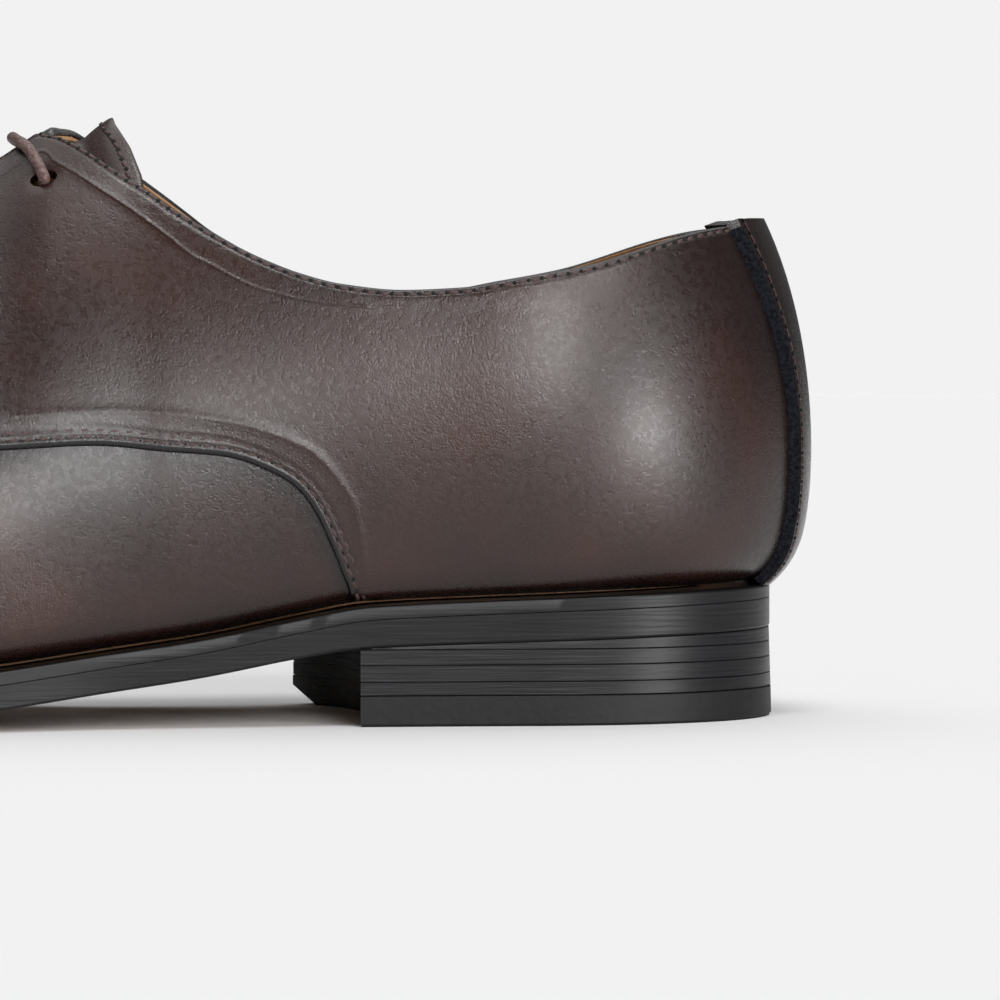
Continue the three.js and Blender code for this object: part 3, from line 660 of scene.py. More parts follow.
def both_sides(step, front, extra=()):
    """Ribs from the front of the outer side round the heel to the front of the inner side."""
    xs, sides = [], []
    for side in (1, -1):
        line = FOOT_RIM.stations(side, int((front + 30) / step), 0, front)
        line = np.unique(np.concatenate([line, *[np.asarray(e, float) for e in extra]]))
        xs.append(line[::-1] if side > 0 else line[1:])
        sides.append(np.full(len(xs[-1]), side))
    return Ribs(np.concatenate(xs), np.concatenate(sides))


EDGE_STEPS = [0, .08, .2, .35, .55, .8, 1.1, 1.4, 1.8, 2.2, 2.7]


def quarter_round(distance, radius):
    return radius * np.sqrt(np.clip(1 - (1 - np.clip(distance / radius, 0, 1)) ** 2, 0, 1))


def close_to(distance, width, power=1.0):
    """One on a line, falling to nought at this width from it."""
    return np.clip(1 - distance / width, 0, 1) ** power


def groove(distance, place, half_width):
    return np.clip(1 - ((distance - place) / half_width) ** 2, 0, 1) ** 2


# Eyelets: place and outward direction on the outside of the quarters
def on_side(x, z, side, offset):
    ribs = Ribs([x, x], [side, side])
    run = ribs.run_at_height([z, z], offset)
    at = ribs.points(run[:, None], offset)[0, 0]
    out = ribs.points(run[:, None], offset + 1.0)[0, 0] - at
    return at, out


def on_top(x, y, side, offset):
    """Point outside the upper over a place in plan."""
    ribs = Ribs([x, x], [side, side])
    reach = abs(y - float(crest_y(np.array(x))))
    run = ribs.run_at_reach([reach, reach], offset)
    return ribs.points(run[:, None], offset)[0, 0]


eyelets = []
for i in range(EYELETS):
    eyelet_x = (FIRST_EYELET[0] + EYELET_STEP[0] * i) * LENGTH
    eyelet_z = (FIRST_EYELET[1] + EYELET_STEP[1] * i) * INSTEP_HEIGHT
    eyelets.append([on_side(eyelet_x, eyelet_z, side, QUARTER_TOP) for side in (1, -1)])

# Quarters
CUT_BEVEL = .95
CUT_DROP = .2
CUT_DROP_WIDTH = 5.5
TOP_GROOVE = .22
TOP_GROOVE_HALF = .6
STAY_STEP = .07
STAY_STEP_WIDTH = .8
STAY_RIDGE = .09
FOLD_RIDGE = .1
FOLD_RIDGE_HALF = 1.8
EDGE_GROOVE = .16
EDGE_GROOVE_HALF = .5
HOLE_DIP = .45
HOLE_DIP_WIDTH = 2.0
QUARTER_DRAW = 1.1
VAMP_DRAW = 1.0
DRAW_WIDTH = 3.4
LAP_WIDTH = 13
LAP_EASE = 3
INNER_RIM = .4

# Darkening, strength and width: painted shade at the feather and beside the backstay strip, inked cut edges,
# darker cut and top edges
FEATHER_SHADE = .85
FEATHER_SHADE_WIDTH = 8
CUT_DARK = .6
CUT_DARK_WIDTH = 3.6
CUT_INK_WIDTH = 1.25
CUT_INK_FADE = .3
TOP_DARK = .8
TOP_DARK_WIDTH = 2.6
STRIP_SHADE = .9
STRIP_SHADE_HALF = 11
STRIP_SHADE_WIDTH = 13
STRIP_SHADE_REACH = 30

quarter_ribs = both_sides(1.0, QUARTER_FRONT, [
    np.linspace(78.5, 80, 16), np.linspace(80, 92, 24), np.linspace(184, QUARTER_FRONT, 24)])
qx = quarter_ribs.xs
low_height = np.interp(qx, low_x, low_line[:, 1], left=-50)
by_edge = quarter_ribs.run_at_height(low_height, QUARTER_TOP)
quarter_low = np.maximum(feather_run(quarter_ribs, QUARTER_TOP), by_edge)
quarter_high = top_run(quarter_ribs, QUARTER_TOP)
front_height = np.interp(qx, high_line[::-1, 0], high_line[::-1, 1], left=500)
quarter_high = np.minimum(quarter_high, quarter_ribs.run_at_height(front_height, QUARTER_TOP))
quarter_high = np.maximum(quarter_high, quarter_low + 0.02)
runs = spaced_rows(quarter_low, quarter_high, EDGE_STEPS, EDGE_STEPS, 56)
base = quarter_ribs.points(runs, QUARTER_TOP)
keep = qx >= low_x[0]
outer_cut = base[keep & (quarter_ribs.sides > 0), 0]
inner_cut = base[keep & (quarter_ribs.sides < 0), 0]
to_top = distance_to_line(base, base[:, -1])
to_cut = np.minimum(distance_to_line(base, outer_cut), distance_to_line(base, inner_cut))
to_feather = base[..., 2] - sole_top(base[..., 0])
to_stay = above_line(base, stay_line)
to_fold = above_line(base, fold_line)
to_hole = np.full(base.shape[:2], 99.0)
for pair in eyelets:
    for at, out in pair:
        to_hole = np.minimum(to_hole, np.linalg.norm(base - at, axis=2))
outside = QUARTER_TOP - RIM_RADIUS + quarter_round(to_top, RIM_RADIUS)
outside -= TOP_GROOVE * groove(to_top, TOP_STITCH, TOP_GROOVE_HALF)
outside += STAY_STEP * np.clip(to_stay / STAY_STEP_WIDTH + .5, 0, 1)
outside += STAY_RIDGE * groove(to_stay, -.1, 1.0)
outside += FOLD_RIDGE * groove(to_fold, 0, FOLD_RIDGE_HALF)
bevel = CUT_BEVEL - quarter_round(to_cut, CUT_BEVEL)
outside -= CUT_DROP * close_to(to_cut, CUT_DROP_WIDTH, 1.5) + bevel
for place in EDGE_STITCHES:
    outside -= EDGE_GROOVE * groove(to_cut, place, EDGE_GROOVE_HALF)
outside -= HOLE_DIP * close_to(to_hole - EYELET_SHORT, HOLE_DIP_WIDTH, 2)
outside -= QUARTER_DRAW * close_to(to_feather, DRAW_WIDTH, 2)
inside = np.full_like(outside, LINING_THICK + GAP)
cover = np.clip((LAP_WIDTH - to_cut) / LAP_EASE, 0, 1) * (qx > low_x[0])[:, None]
inside += cover * (VAMP_TOP + .03 - LINING_THICK - GAP)
inside += np.clip(INNER_RIM - quarter_round(to_top, INNER_RIM), 0, None)
inside = np.minimum(inside, outside - GAP)
vertices, faces = shell(quarter_ribs.points(runs, outside), quarter_ribs.points(runs, inside))
quarters = make_piece("quarters", vertices, faces, quarter_calf)
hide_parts("upper")


def nearest_points(piece, points):
    """For each vertex of the piece, the index of the nearest of these points."""
    tree = KDTree(len(points))
    for i, p in enumerate(points):
        tree.insert(p, i)
    tree.balance()
    places = np.empty(len(piece.data.vertices) * 3)
    piece.data.vertices.foreach_get("co", places)
    return np.array([tree.find(p)[1] for p in places.reshape(-1, 3)])


def cut_eyelets(piece, depth):
    """Oval holes through a shell, along each eyelet's own direction."""
    bpy.ops.object.select_all(action="DESELECT")
    for pair in eyelets:
        for at, out in pair:
            bpy.ops.mesh.primitive_cylinder_add(vertices=28, radius=1, depth=1)
            cutter = bpy.context.object
            cutter.scale = (EYELET_LONG * .001, EYELET_SHORT * .001, depth * .001)
            cutter.rotation_euler = Vector(out).to_track_quat("Z", "Y").to_euler()
            cutter.location = to_frame(at)
            bpy.ops.object.transform_apply(location=True, rotation=True, scale=True)
            subtract(piece, cutter)


cut_eyelets(quarters, EYELET_DEPTH)
nearest = nearest_points(quarters, to_frame(base.reshape(-1, 3)))
# Painted shade in the groove where the upper rolls in to the feather
painted_shade_and_dark_edges = FEATHER_SHADE * close_to(to_feather, FEATHER_SHADE_WIDTH, 1.4)
# Darker towards the cut edges, fully dark on the inked cut edge itself, and darker towards the top edge
painted_shade_and_dark_edges = np.maximum(painted_shade_and_dark_edges, CUT_DARK * close_to(to_cut, CUT_DARK_WIDTH))
painted_shade_and_dark_edges = np.maximum(painted_shade_and_dark_edges, np.clip((CUT_INK_WIDTH - to_cut) / CUT_INK_FADE, 0, 1))
painted_shade_and_dark_edges = np.maximum(painted_shade_and_dark_edges, TOP_DARK * close_to(to_top, TOP_DARK_WIDTH))
# Painted shade on the heel's rear beside the backstay strip, where the quarters turn away from the light
shade_beside_strip = close_to(np.abs(base[..., 1]) - STRIP_SHADE_HALF, STRIP_SHADE_WIDTH)
painted_shade_and_dark_edges = np.maximum(painted_shade_and_dark_edges, STRIP_SHADE * shade_beside_strip * (base[..., 0] < STRIP_SHADE_REACH))
for name, field in (("painted_shade_and_dark_edges", painted_shade_and_dark_edges), ("stay", to_stay), ("fold", to_fold), ("rim", to_top)):
    set_values(quarters, name, field.ravel()[nearest])

# Vamp
VAMP_START = 73.0
VAMP_SLOT = 176.0
VAMP_EASE = 165
SLOT_SETBACK = 2.5
fronts, backs, vamp_shades = [], [], []
for side in (1, -1):
    vamp_x = FOOT_RIM.stations(side, 200, VAMP_START, LENGTH)
    ribs = Ribs(vamp_x, np.full(200, side))
    low = feather_run(ribs, VAMP_TOP)
    edge_height = np.interp(vamp_x, low_x, low_line[:, 1], left=30, right=400)
    covered = np.maximum(ribs.run_at_height(edge_height + 9, VAMP_TOP), low + 1)
    crest_run = ribs.run[:, -1]
    by_throat = ribs.run_at_reach(throat_reach(vamp_x, side) + SLOT_SETBACK, VAMP_TOP)
    slot = np.where(vamp_x < VAMP_SLOT, by_throat, crest_run)
    ease = np.clip((vamp_x - VAMP_EASE) / (QUARTER_FRONT - 4 - VAMP_EASE), 0, 1)
    ease = ease * ease * (3 - 2 * ease)
    high = np.minimum(slot, covered + ease * (crest_run - covered))
    high = np.where(vamp_x < QUARTER_FRONT - 2, high, crest_run)
    run = spaced_rows(low, high, [0, .4, .9, 1.5, 2.2], [0, .6], 60)
    face = ribs.points(run, VAMP_TOP)
    up = face[..., 2] - sole_top(face[..., 0])
    out = VAMP_TOP - VAMP_DRAW * close_to(up, DRAW_WIDTH, 2)
    fronts.append(ribs.points(run, out))
    backs.append(ribs.points(run, LINING_THICK + GAP))
    edge = low_line[::6]
    near_edge = distance_to_line(face[..., [0, 2]], edge)
    # Painted shade on the vamp: in the feather's groove and along the quarter's overlapping edge
    vamp_shades.append(np.maximum(FEATHER_SHADE * close_to(up, 9, 1.4), .8 * close_to(near_edge, 5, 1.3)))
front = np.concatenate([fronts[0], fronts[1][::-1][1:]])
back = np.concatenate([backs[0], backs[1][::-1][1:]])
vamp_shade = np.concatenate([vamp_shades[0], vamp_shades[1][::-1][1:]])
vertices, faces = shell(front, back)
vamp = make_piece("vamp", vertices, faces, smooth_calf)
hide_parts("upper")
nearest = nearest_points(vamp, to_frame(front.reshape(-1, 3)))
set_values(vamp, "painted_shade_and_dark_edges", vamp_shade.ravel()[nearest])

# Lining
lining_ribs = both_sides(2.0, 286)
low = lining_ribs.run_at_height(sole_top(lining_ribs.xs) + 2.6, LINING_THICK)
high = top_run(lining_ribs, QUARTER_TOP) - .2
high = np.where(lining_ribs.xs > VAMP_SLOT, lining_ribs.run[:, -1], high)
run = spaced_rows(low, high, [0, 1], [0, .3, .8], 36)
vertices, faces = shell(lining_ribs.points(run, LINING_THICK), lining_ribs.points(run, 0.02))
lining = make_piece("lining", vertices, faces, tan_lining)
cut_eyelets(lining, EYELET_DEPTH)

# Backstay
STRIP_BASE = QUARTER_TOP + GAP
STRIP_TOP = QUARTER_TOP + 2.0
STRIP_RISE = 1.0
STRIP = {
    "at": [0, .22, .33, .55, .62, .7, .78, 1],
    "half": [.165, .17, .2, .212, .222, .24, .248, .24],
}
HEEL_WIDTH = 66.0
strip_x = FOOT_RIM.stations(1, 44, 0, 34)
strip_sides = np.concatenate([np.ones(44), -np.ones(43)])
strip_ribs = Ribs(np.concatenate([strip_x[::-1], strip_x[1:]]), strip_sides)
low = feather_run(strip_ribs, STRIP_TOP)
high = strip_ribs.run_to_line(lambda x, side: collar_height(x, side) + STRIP_RISE, STRIP_TOP)
run = spaced_rows(low, high, EDGE_STEPS[:6], EDGE_STEPS[:8], 80)
near_edge = np.array(EDGE_STEPS[:8]) / 16
across = np.concatenate([-1 + near_edge, np.linspace(-.84, .84, 23), 1 - near_edge[::-1]])


def at_widths(grid):
    """Each row of the grid read again at shares of the strip's width."""
    out = np.empty((len(across),) + grid.shape[1:])
    for j in range(grid.shape[1]):
        half = column(STRIP, "half", HEEL_WIDTH, np.mean(grid[30:58, j, 2]) / INSTEP_HEIGHT)
        order = np.argsort(grid[:, j, 1])
        for k in (0, 2):
            out[:, j, k] = np.interp(across * half, grid[order, j, 1], grid[order, j, k])
        out[:, j, 1] = across * half
    return out


outer_grid = at_widths(strip_ribs.points(run, STRIP_TOP))
inner_grid = at_widths(strip_ribs.points(run, STRIP_BASE))
from_edge = (1 - np.abs(across)) * 16
height = 1 - (.3 - quarter_round(from_edge, .3)) / 2.0 - .2 * groove(from_edge, 1.5, .6) / 2.0
outer_grid = inner_grid + (outer_grid - inner_grid) * height[:, None, None]
vertices, faces = shell(outer_grid, inner_grid)
backstay = make_piece("backstay-strip", vertices, faces, smooth_calf)
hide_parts("backstay")
backstay.data.materials.append(raw_edge)
for face in backstay.data.polygons:
    if abs(face.normal.y) > .8 and face.center.z < .0895:
        face.material_index = 1
# Painted shade: the whole backstay strip darkened, for the heel's rear turned away from the light
set_values(backstay, "painted_shade_and_dark_edges", np.full(len(backstay.data.vertices), .7))

# Tongue
TONGUE_SAG = {
    "at": [.38, .402, .4153, .4227, .436, .475, .53, 1],
    "sag": [.3, .7, 2.4, 3.6, 3.6, 1.4, 0, 0],
}
TONGUE_REAR = {
    "z": [80, 92.4, 99, 104.5, 108.9, 113.3],
    "x": [118, 114.9, 115.8, 117.9, 120.6, 121.8],
}
TONGUE_FRONT = 184.0
half_across = np.concatenate([np.linspace(0, 25, 26), 25 + np.array([.6, 1.1, 1.5, 1.8, 2.0, 2.1])])
widths = np.concatenate([half_across[::-1], -half_across[1:]])
tongue_sides = np.where(widths >= 0, 1, -1)
rear = np.full(len(widths), 118.0)
for step in range(8):
    ribs = Ribs(rear, tongue_sides)
    sag = column(TONGUE_SAG, "sag", 1, rear / LENGTH)[:, None]
    edge_points = ribs.points((ribs.run[:, -1] - np.abs(widths))[:, None], -.3 - sag)
    rear = .5 * rear + .5 * np.interp(edge_points[:, 0, 2], TONGUE_REAR["z"], TONGUE_REAR["x"])
lengths = np.concatenate([np.array(EDGE_STEPS[:8]), np.linspace(2.2, 60, 60)]) / 60
grid_out, grid_in = [], []
for share in lengths:
    narrow = 1 - .25 * share
    x = rear + (TONGUE_FRONT - rear) * share
    ribs = Ribs(x, tongue_sides)
    run = (ribs.run[:, -1] - np.abs(widths) * narrow)[:, None]
    sag = column(TONGUE_SAG, "sag", 1, x / LENGTH)[:, None]
    edge = np.minimum(share * 60, 27.1 - np.abs(widths))[:, None]
    thin = .8 - quarter_round(edge, .8)
    grid_out.append(ribs.points(run, -.3 - sag - thin * .6)[:, 0])
    grid_in.append(ribs.points(run, -2.3 - sag + thin)[:, 0])
tongue_top = np.array(grid_out)
vertices, faces = shell(tongue_top, np.array(grid_in))
tongue = make_piece("tongue-leather", vertices, faces, smooth_calf)
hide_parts("tongue")
tongue.data.materials.append(raw_edge)
tongue.data.materials.append(tan_lining)
for face in tongue.data.polygons:
    if face.normal.x < -.55 and face.center.x < tongue_top[:, :, 0].min() * .001 + shift_x + .009:
        face.material_index = 1
    elif face.normal.z < -.3:
        face.material_index = 2
# The whole tongue a little darker
set_values(tongue, "painted_shade_and_dark_edges", np.full(len(tongue.data.vertices), .15))


# Stitches
def resampled(line, ups, pitch):
    run = np.concatenate([[0], np.cumsum(np.linalg.norm(np.diff(line, axis=0), axis=1))])
    count = max(2, int(run[-1] / pitch))
    at = (np.arange(count) + .5) * run[-1] / count
    places = np.stack([np.interp(at, run, line[:, k]) for k in range(3)], 1)
    up = np.stack([np.interp(at, run, ups[:, k]) for k in range(3)], 1)
    ahead = np.stack([np.interp(at + .4, run, line[:, k]) for k in range(3)], 1)
    behind = np.stack([np.interp(at - .4, run, line[:, k]) for k in range(3)], 1)
    along = ahead - behind
    along /= np.linalg.norm(along, axis=1)[:, None]
    up -= (up * along).sum(1)[:, None] * along
    up /= np.linalg.norm(up, axis=1)[:, None]
    return places, along, up, run[-1] / count


def bead(half_length, half_width, half_height, rings, sides):
    """Small rounded body along the first axis, as vertices and faces."""
    vertices = [(-half_length, 0, 0)]
    for i in range(1, rings):
        turn = math.pi * i / rings
        for j in range(sides):
            spin = 2 * math.pi * j / sides
            r = math.sin(turn) ** .6
            wide, high = half_width * r * math.cos(spin), half_height * r * math.sin(spin)
            vertices.append((-half_length * math.cos(turn), wide, high))
    vertices.append((half_length, 0, 0))
    last = len(vertices) - 1
    faces = []
    for j in range(sides):
        k = (j + 1) % sides
        faces.append((0, 1 + k, 1 + j))
        for i in range(rings - 2):
            a = 1 + i * sides
            faces.append((a + j, a + k, a + sides + k, a + sides + j))
        faces.append((last, last - sides + j, last - sides + k))
    return np.array(vertices), faces


def seam(name, lines, pitch):
    """Threads along lines on the surface, with a small black bead raised between each two as painted shade
    for a needle-hole.
    """
    thread_body, thread_faces = bead(pitch * .34, .38, .27, 6, 6)
    # Raised black bead, painted shade for the needle-hole
    hole_shade_body, hole_shade_faces = bead(.4, .46, .13, 4, 6)
    vertices, faces, kinds = [], [], []
    count = 0
    for line, ups in lines:
        places, along, up, step = resampled(line, ups, pitch)
        wide = np.cross(up, along)
        for p, a, u, w in zip(places, along, up, wide):
            turned = a * math.cos(.14) + w * math.sin(.14)
            side = np.cross(u, turned)
            thread_at = thread_body[:, :1] * turned + thread_body[:, 1:2] * side + thread_body[:, 2:] * u
            vertices.append(p + thread_at)
            faces += [[count + v for v in f] for f in thread_faces]
            kinds += [0] * len(thread_faces)
            count += len(thread_body)
            place = p + a * step / 2 + u * .04
            vertices.append(place + hole_shade_body[:, :1] * a + hole_shade_body[:, 1:2] * w + hole_shade_body[:, 2:] * u)
            faces += [[count + v for v in f] for f in hole_shade_faces]
            kinds += [1] * len(hole_shade_faces)
            count += len(hole_shade_body)
    piece = make_piece(name, np.concatenate(vertices), faces, thread, 60)
    piece.data.materials.append(painted_hole_shade)
    piece.data.polygons.foreach_set("material_index", kinds)
    return piece


def surface_line(ribs, run, offset):
    line = ribs.points(run[:, None], offset)[:, 0]
    up = ribs.points(run[:, None], offset + 1.0)[:, 0] - line
    return line, up


rim_lines = []
for side in (1, -1):
    pick = quarter_ribs.sides == side
    xs = qx[pick]
    ribs = Ribs(xs[xs < 184], np.full(int((xs < 184).sum()), side))
    rim_lines.append(surface_line(ribs, top_run(ribs, QUARTER_TOP) - TOP_STITCH, QUARTER_TOP - .16))
seam("topline-stitches", rim_lines, TOP_PITCH)


def beside(line, distance):
    """Line of the side view moved to its left."""
    ahead = np.gradient(line, axis=0)
    ahead /= np.linalg.norm(ahead, axis=1)[:, None]
    return line + distance * np.stack([-ahead[:, 1], ahead[:, 0]], 1)


def on_quarter(line, side, offset):
    pick = np.linspace(0, len(line) - 1, 260).astype(int)
    xs, zs = line[pick, 0], line[pick, 1]
    ribs = Ribs(xs, np.full(len(xs), side))
    run = ribs.run_at_height(zs, QUARTER_TOP)
    good = run > feather_run(ribs, QUARTER_TOP) + .3
    line, up = surface_line(ribs, run, offset)
    return line[good], up[good]


edge_lines = []
for side in (1, -1):
    for place in EDGE_STITCHES:
        moved = beside(low_line[::3], place)
        edge_lines.append(on_quarter(moved, side, QUARTER_TOP - .38))
seam("quarter-stitches", edge_lines, EDGE_PITCH)
strip_lines = []
for pick in (6, len(across) - 7):
    line = outer_grid[pick, 2:-3]
    up = line - inner_grid[pick, 2:-3]
    strip_lines.append((line, up))
seam("backstay-stitches", strip_lines, EDGE_PITCH)
tongue_row = int(np.argmin(np.abs(lengths * 60 - 2.6)))
line = tongue_top[tongue_row, 6:-6]
lift = np.gradient(tongue_top, axis=0)[tongue_row, 6:-6]
sideways = np.gradient(tongue_top, axis=1)[tongue_row, 6:-6]
up = np.cross(sideways, lift)
up *= np.sign(up[:, 2:])
seam("tongue-stitches", [(line, up)], TONGUE_PITCH)


# Sole pieces, as bands round the outline
def outline_loop(inset, count):
    rim = sole_rim(inset)
    outer = rim.stations(1, count)
    inner = rim.stations(-1, count)
    left = np.stack([outer, rim.y(outer, 1)], 1)
    right = np.stack([inner, rim.y(inner, -1)], 1)[::-1]
    return np.concatenate([left, right[1:-1]])


def band_faces(levels, size):
    faces = []
    for k in range(levels - 1):
        for i in range(size):
            j = (i + 1) % size
            faces.append([k * size + i, k * size + j, (k + 1) * size + j, (k + 1) * size + i])
    return faces


def cap_faces(levels, size, count):
    """Strips across the first and the last loop, from one side to the other."""
    faces = []
    for k in (0, levels - 1):
        first = k * size
        for i in range(count - 1):
            face = [first + i, first + i + 1, first + (size - i - 1) % size, first + (size - i) % size]
            face = list(dict.fromkeys(face))
            faces.append(face[::-1] if k == 0 else face)
    return faces


def banded(rows, count):
    """Closed plate from rows of inset and height, top row first."""
    loops = []
    for inset, height in rows:
        loop = outline_loop(inset, count)
        loops.append(np.concatenate([loop, height(loop[:, 0])[:, None]], 1))
    size = len(loops[0])
    faces = band_faces(len(loops), size) + cap_faces(len(loops), size, count)
    return np.concatenate(loops), faces


WELT_THICK = 2.4
PLATE_COUNT = 240
welt_rows = [
    (12, sole_top), (.35, sole_top), (.1, lambda x: sole_top(x) - .12), (0, lambda x: sole_top(x) - .35),
    (0, lambda x: sole_top(x) - WELT_THICK + .1), (.08, lambda x: sole_top(x) - WELT_THICK + .02),
    (6, lambda x: sole_top(x) - WELT_THICK + .02),
]
vertices, faces = banded(welt_rows, PLATE_COUNT)
welt = make_piece("welt-band", vertices, faces, inked_edge, 24)
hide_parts("welt")
under = WELT_THICK + GAP
outsole_rows = [
    (6, lambda x: sole_top(x) - under), (.1, lambda x: sole_top(x) - under),
    (0, lambda x: sole_top(x) - under - .1),
    (0, lambda x: sole_bottom(x) + .45), (.3, sole_bottom), (6, sole_bottom),
]
vertices, faces = banded(outsole_rows, PLATE_COUNT)
outsole = make_piece("outsole-leather", vertices, faces, inked_edge, 24)
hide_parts("outsole")
outsole.data.materials.append(sole_leather)
for face in outsole.data.polygons:
    if face.normal.z < -.6 and face.center.x > shift_x + .0755:
        face.material_index = 1

# Insole
INSOLE_COUNT = 160
INSOLE_INSET = 2
INSOLE_LIFTS = (3.1, .3)
foot = FOOT_RIM
loops = []
for lift in INSOLE_LIFTS:
    xs = foot.stations(1, INSOLE_COUNT, foot.start + INSOLE_INSET, foot.end - INSOLE_INSET)
    left = np.stack([xs, foot.y(xs, 1) - INSOLE_INSET], 1)
    right = np.stack([xs, foot.y(xs, -1) + INSOLE_INSET], 1)[::-1]
    left[[0, -1], 1] = right[[-1, 0], 1] = (foot.y(xs[[0, -1]], 1) + foot.y(xs[[0, -1]], -1)) / 2
    loop = np.concatenate([left, right[1:-1]])
    loops.append(np.concatenate([loop, (sole_top(loop[:, 0]) + lift)[:, None]], 1))
size = len(loops[0])
faces = band_faces(2, size) + cap_faces(2, size, INSOLE_COUNT)
insole = make_piece("insole-sock", np.concatenate(loops), faces, tan_insole, 50)
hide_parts("insole")

# Heel
HEEL_LENGTH = 77.0
TOP_PIECE = 5.5
LIFT_LINES = (13.8, 11.0, 8.0)
LIFT_GROOVE = .14
BREAST = {
    "x": [1.0, 1.0, .972, .965, .98, 1.03, 1.13, 1.15],
    "y": [.6, .47, .28, .08, -.1, -.27, -.43, -.6],
}
breast_line = smooth_line(np.array(BREAST["x"]) * HEEL_LENGTH, np.array(BREAST["y"]) * HEEL_WIDTH, 400)
RIM_COUNT = 130
BREAST_COUNT = 26


def heel_loop(inset, forward=0.0):
    rim = sole_rim(inset)
    x, y = breast_line[:, 0] + forward, breast_line[:, 1]
    inside = (y < rim.y(x, 1)) & (y > rim.y(x, -1))
    x, y = x[inside], y[inside]
    outer = rim.stations(1, RIM_COUNT, 0, x[0])[::-1]
    inner = rim.stations(-1, RIM_COUNT, 0, x[-1])[1:]
    share = np.linspace(0, len(x) - 1, BREAST_COUNT)[1:-1][::-1]
    across = np.stack([np.interp(share, np.arange(len(x)), x), np.interp(share, np.arange(len(x)), y)], 1)
    left = np.stack([outer, rim.y(outer, 1)], 1)
    right = np.stack([inner, rim.y(inner, -1)], 1)
    return np.concatenate([left, right, across])


def heel_body(name, rows, material, node):
    """Heel layer from rows of inset, forward move of the breast and height, top row first."""
    loops = []
    for inset, forward, height in rows:
        loop = heel_loop(inset, forward)
        loops.append(np.concatenate([loop, height(loop[:, 0])[:, None]], 1))
    size = len(loops[0])
    faces = band_faces(len(loops), size)
    faces.append(list(range(size))[::-1])
    faces.append([(len(loops) - 1) * size + i for i in range(size)])
    piece = make_piece(name, np.concatenate(loops), faces, material, 24)
    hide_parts(node)
    piece.data.materials.append(breast_face)
    for face in piece.data.polygons:
        if face.normal.x > .6 and abs(face.normal.z) < .5:
            face.material_index = 1
    return piece


def flare(z):
    return .1 - .5 * (1 - z / 16)


def lift_height(z):
    return lambda x: np.minimum(z, sole_bottom(x) - .12)


lift_rows = [(.4, 0, lambda x: sole_bottom(x) - .02), (.12, 0, lambda x: sole_bottom(x) - .1)]
for z in LIFT_LINES:
    lift_rows += [
        (flare(z), 0, lift_height(z + LIFT_GROOVE)),
        (flare(z) + .16, -.12, lift_height(z)),
        (flare(z), 0, lift_height(z - LIFT_GROOVE)),
    ]
lift_rows += [(flare(6), 0, lift_height(TOP_PIECE + .2)), (flare(6) + .25, -.1, lift_height(TOP_PIECE + .03))]
heel_body("heel-stack", lift_rows, heel_edge, "heel-lifts")
piece_rows = [
    (flare(5) + .2, -.1, lambda x: 0 * x + TOP_PIECE), (flare(5), 0, lambda x: 0 * x + TOP_PIECE - .2),
    (flare(1), 0, lambda x: 0 * x + .5), (flare(0) + .4, -.4, lambda x: 0 * x),
]
top_piece = heel_body("heel-top", piece_rows, top_rubber, "heel-top-piece")

# Worn front corner of the top piece, on the inner side
CLIP = {
    "x": [1.043, 1.2, 1.2, 1.127],
    "z": [-.02, -.02, .07, .03],
}
CLIP_WIDTH = 60.0
clip_x = np.array(CLIP["x"]) * HEEL_LENGTH
clip_z = np.array(CLIP["z"]) * INSTEP_HEIGHT
near_side = np.stack([clip_x, 0 * clip_x, clip_z], 1)
far_side = np.stack([clip_x, 0 * clip_x - CLIP_WIDTH, clip_z], 1)
prism = bpy.data.meshes.new("clip")
sides = [[i, (i + 1) % 4, (i + 1) % 4 + 4, i + 4] for i in range(4)]
ends = [[3, 2, 1, 0], [4, 5, 6, 7]]
prism.from_pydata(to_frame(np.concatenate([near_side, far_side])).tolist(), [], sides + ends)
clip = bpy.data.objects.new("clip", prism)
bpy.context.scene.collection.objects.link(clip)
closed_normals(clip)
subtract(top_piece, clip)

# Laces: one straight bar for each pair of eyelets, over both facings
LACE_LEAN = .018 * LENGTH
LACE_OVER = LACE_RADIUS + .05
LACE_SIDES = 12
LACE_PLIES = 3
PLY_DEPTH = .06
PLY_LENGTH = 5.0


def lace_half(place, side):
    at, out = place
    edge_x = at[0] + LACE_LEAN
    edge_y = float(crest_y(np.array(edge_x))) + side * float(throat_reach(np.array(edge_x), side))
    edge = on_top(edge_x, edge_y, side, QUARTER_TOP + LACE_OVER)
    between = (at + out * LACE_OVER + edge) / 2
    over = on_top(between[0], between[1], side, QUARTER_TOP + LACE_OVER)
    return [at - out * 2.9, at - out * 1.2, at + out * .5 * LACE_RADIUS, over, edge]


def tube(points, radius, rings):
    """Round tube along a smooth line, with a shallow twist, as vertices and faces."""
    line = spline(np.array(points), rings)
    along = np.gradient(line, axis=0)
    along /= np.linalg.norm(along, axis=1)[:, None]
    run = np.concatenate([[0], np.cumsum(np.linalg.norm(np.diff(line, axis=0), axis=1))])
    wide = np.cross(along, [1, 0, 0])
    wide /= np.linalg.norm(wide, axis=1)[:, None]
    up = np.cross(along, wide)
    turn = np.linspace(0, 2 * math.pi, LACE_SIDES, endpoint=False)
    twist = turn[None] + 2 * math.pi * run[:, None] / PLY_LENGTH / LACE_PLIES
    ply = radius - PLY_DEPTH * (1 - np.cos(LACE_PLIES * twist))
    outward = np.cos(turn)[None, :, None] * wide[:, None] + np.sin(turn)[None, :, None] * up[:, None]
    rings_at = line[:, None] + ply[..., None] * outward
    vertices = rings_at.reshape(-1, 3)
    faces = band_faces(rings, LACE_SIDES)
    faces.append(list(range(LACE_SIDES)))
    faces.append([(rings - 1) * LACE_SIDES + k for k in range(LACE_SIDES)])
    return vertices, faces


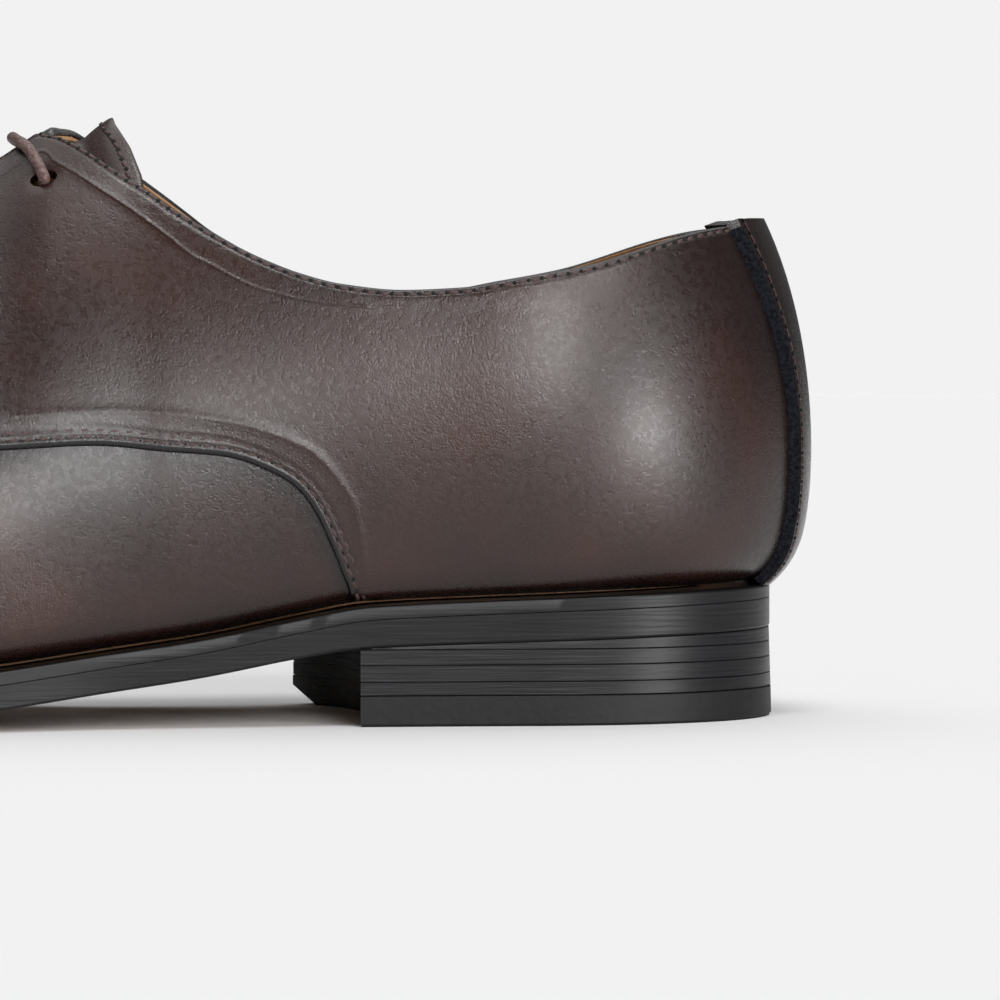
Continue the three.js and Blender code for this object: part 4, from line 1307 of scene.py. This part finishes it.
for number, (outer_place, inner_place) in enumerate(eyelets, 1):
    path = lace_half(outer_place, 1) + lace_half(inner_place, -1)[::-1]
    vertices, faces = tube(path, LACE_RADIUS, 90)
    bar = make_piece(f"lace-{number}", vertices, faces, lace_cord)
    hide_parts(f"lace-bar-{number}")

# Stage and light
BACKGROUND_TONE = .886
FLOOR_ALBEDO = .805
STAGE_SIZE = 8
BACKDROP_BEHIND = 3.9
WORLD_TONE = (.13, .13, .135)


def lit_plane(name, size, place, turn):
    bpy.ops.mesh.primitive_plane_add(size=size, location=place, rotation=turn)
    plane = bpy.context.object
    plane.name = name
    return plane


floor = lit_plane("floor", STAGE_SIZE, (0, 0, 0), (0, 0, 0))
floor_material, floor_nodes, floor_links, floor_shader = new_material("floor paper")
floor_shader.inputs["Base Color"].default_value = (FLOOR_ALBEDO, FLOOR_ALBEDO, FLOOR_ALBEDO, 1)
floor_shader.inputs["Roughness"].default_value = 1
floor_shader.inputs["Specular IOR Level"].default_value = 0
floor.data.materials.append(floor_material)
backdrop = lit_plane("backdrop", STAGE_SIZE, (0, -BACKDROP_BEHIND, 0), (math.pi / 2, 0, 0))
paper, paper_nodes, paper_links, paper_shader = new_material("backdrop paper")
paper_shader.inputs["Base Color"].default_value = (0, 0, 0, 1)
paper_shader.inputs["Specular IOR Level"].default_value = 0
paper_shader.inputs["Emission Color"].default_value = (1, 1, 1, 1)
paper_shader.inputs["Emission Strength"].default_value = BACKGROUND_TONE
backdrop.data.materials.append(paper)
backdrop.visible_diffuse = False
backdrop.visible_glossy = False
backdrop.visible_shadow = False

world = bpy.data.worlds.new("world")
bpy.context.scene.world = world
world.use_nodes = True
world.node_tree.nodes["Background"].inputs[0].default_value = (*WORLD_TONE, 1)


def soft_sun(name, azimuth, elevation, strength, spread):
    """Wide studio light from a direction: azimuth from the shoe's outer side towards the heel, in degrees."""
    data = bpy.data.lights.new(name, "SUN")
    data.energy = strength
    data.angle = math.radians(spread)
    lamp = bpy.data.objects.new(name, data)
    bpy.context.scene.collection.objects.link(lamp)
    a, e = math.radians(azimuth), math.radians(elevation)
    towards = Vector((-math.sin(a) * math.cos(e), math.cos(a) * math.cos(e), math.sin(e)))
    lamp.rotation_euler = towards.to_track_quat("Z", "Y").to_euler()


soft_sun("front box", 12, 19, 1.1, 18)
soft_sun("side box", 32, 37, .7, 16)
soft_sun("high front box", 0, 74, .9, 18)
soft_sun("top box", 168, 74, 1.4, 80)
soft_sun("rear side box", 43, 0.5, 1.9, 16)
bpy.context.scene.view_settings.view_transform = "Standard"
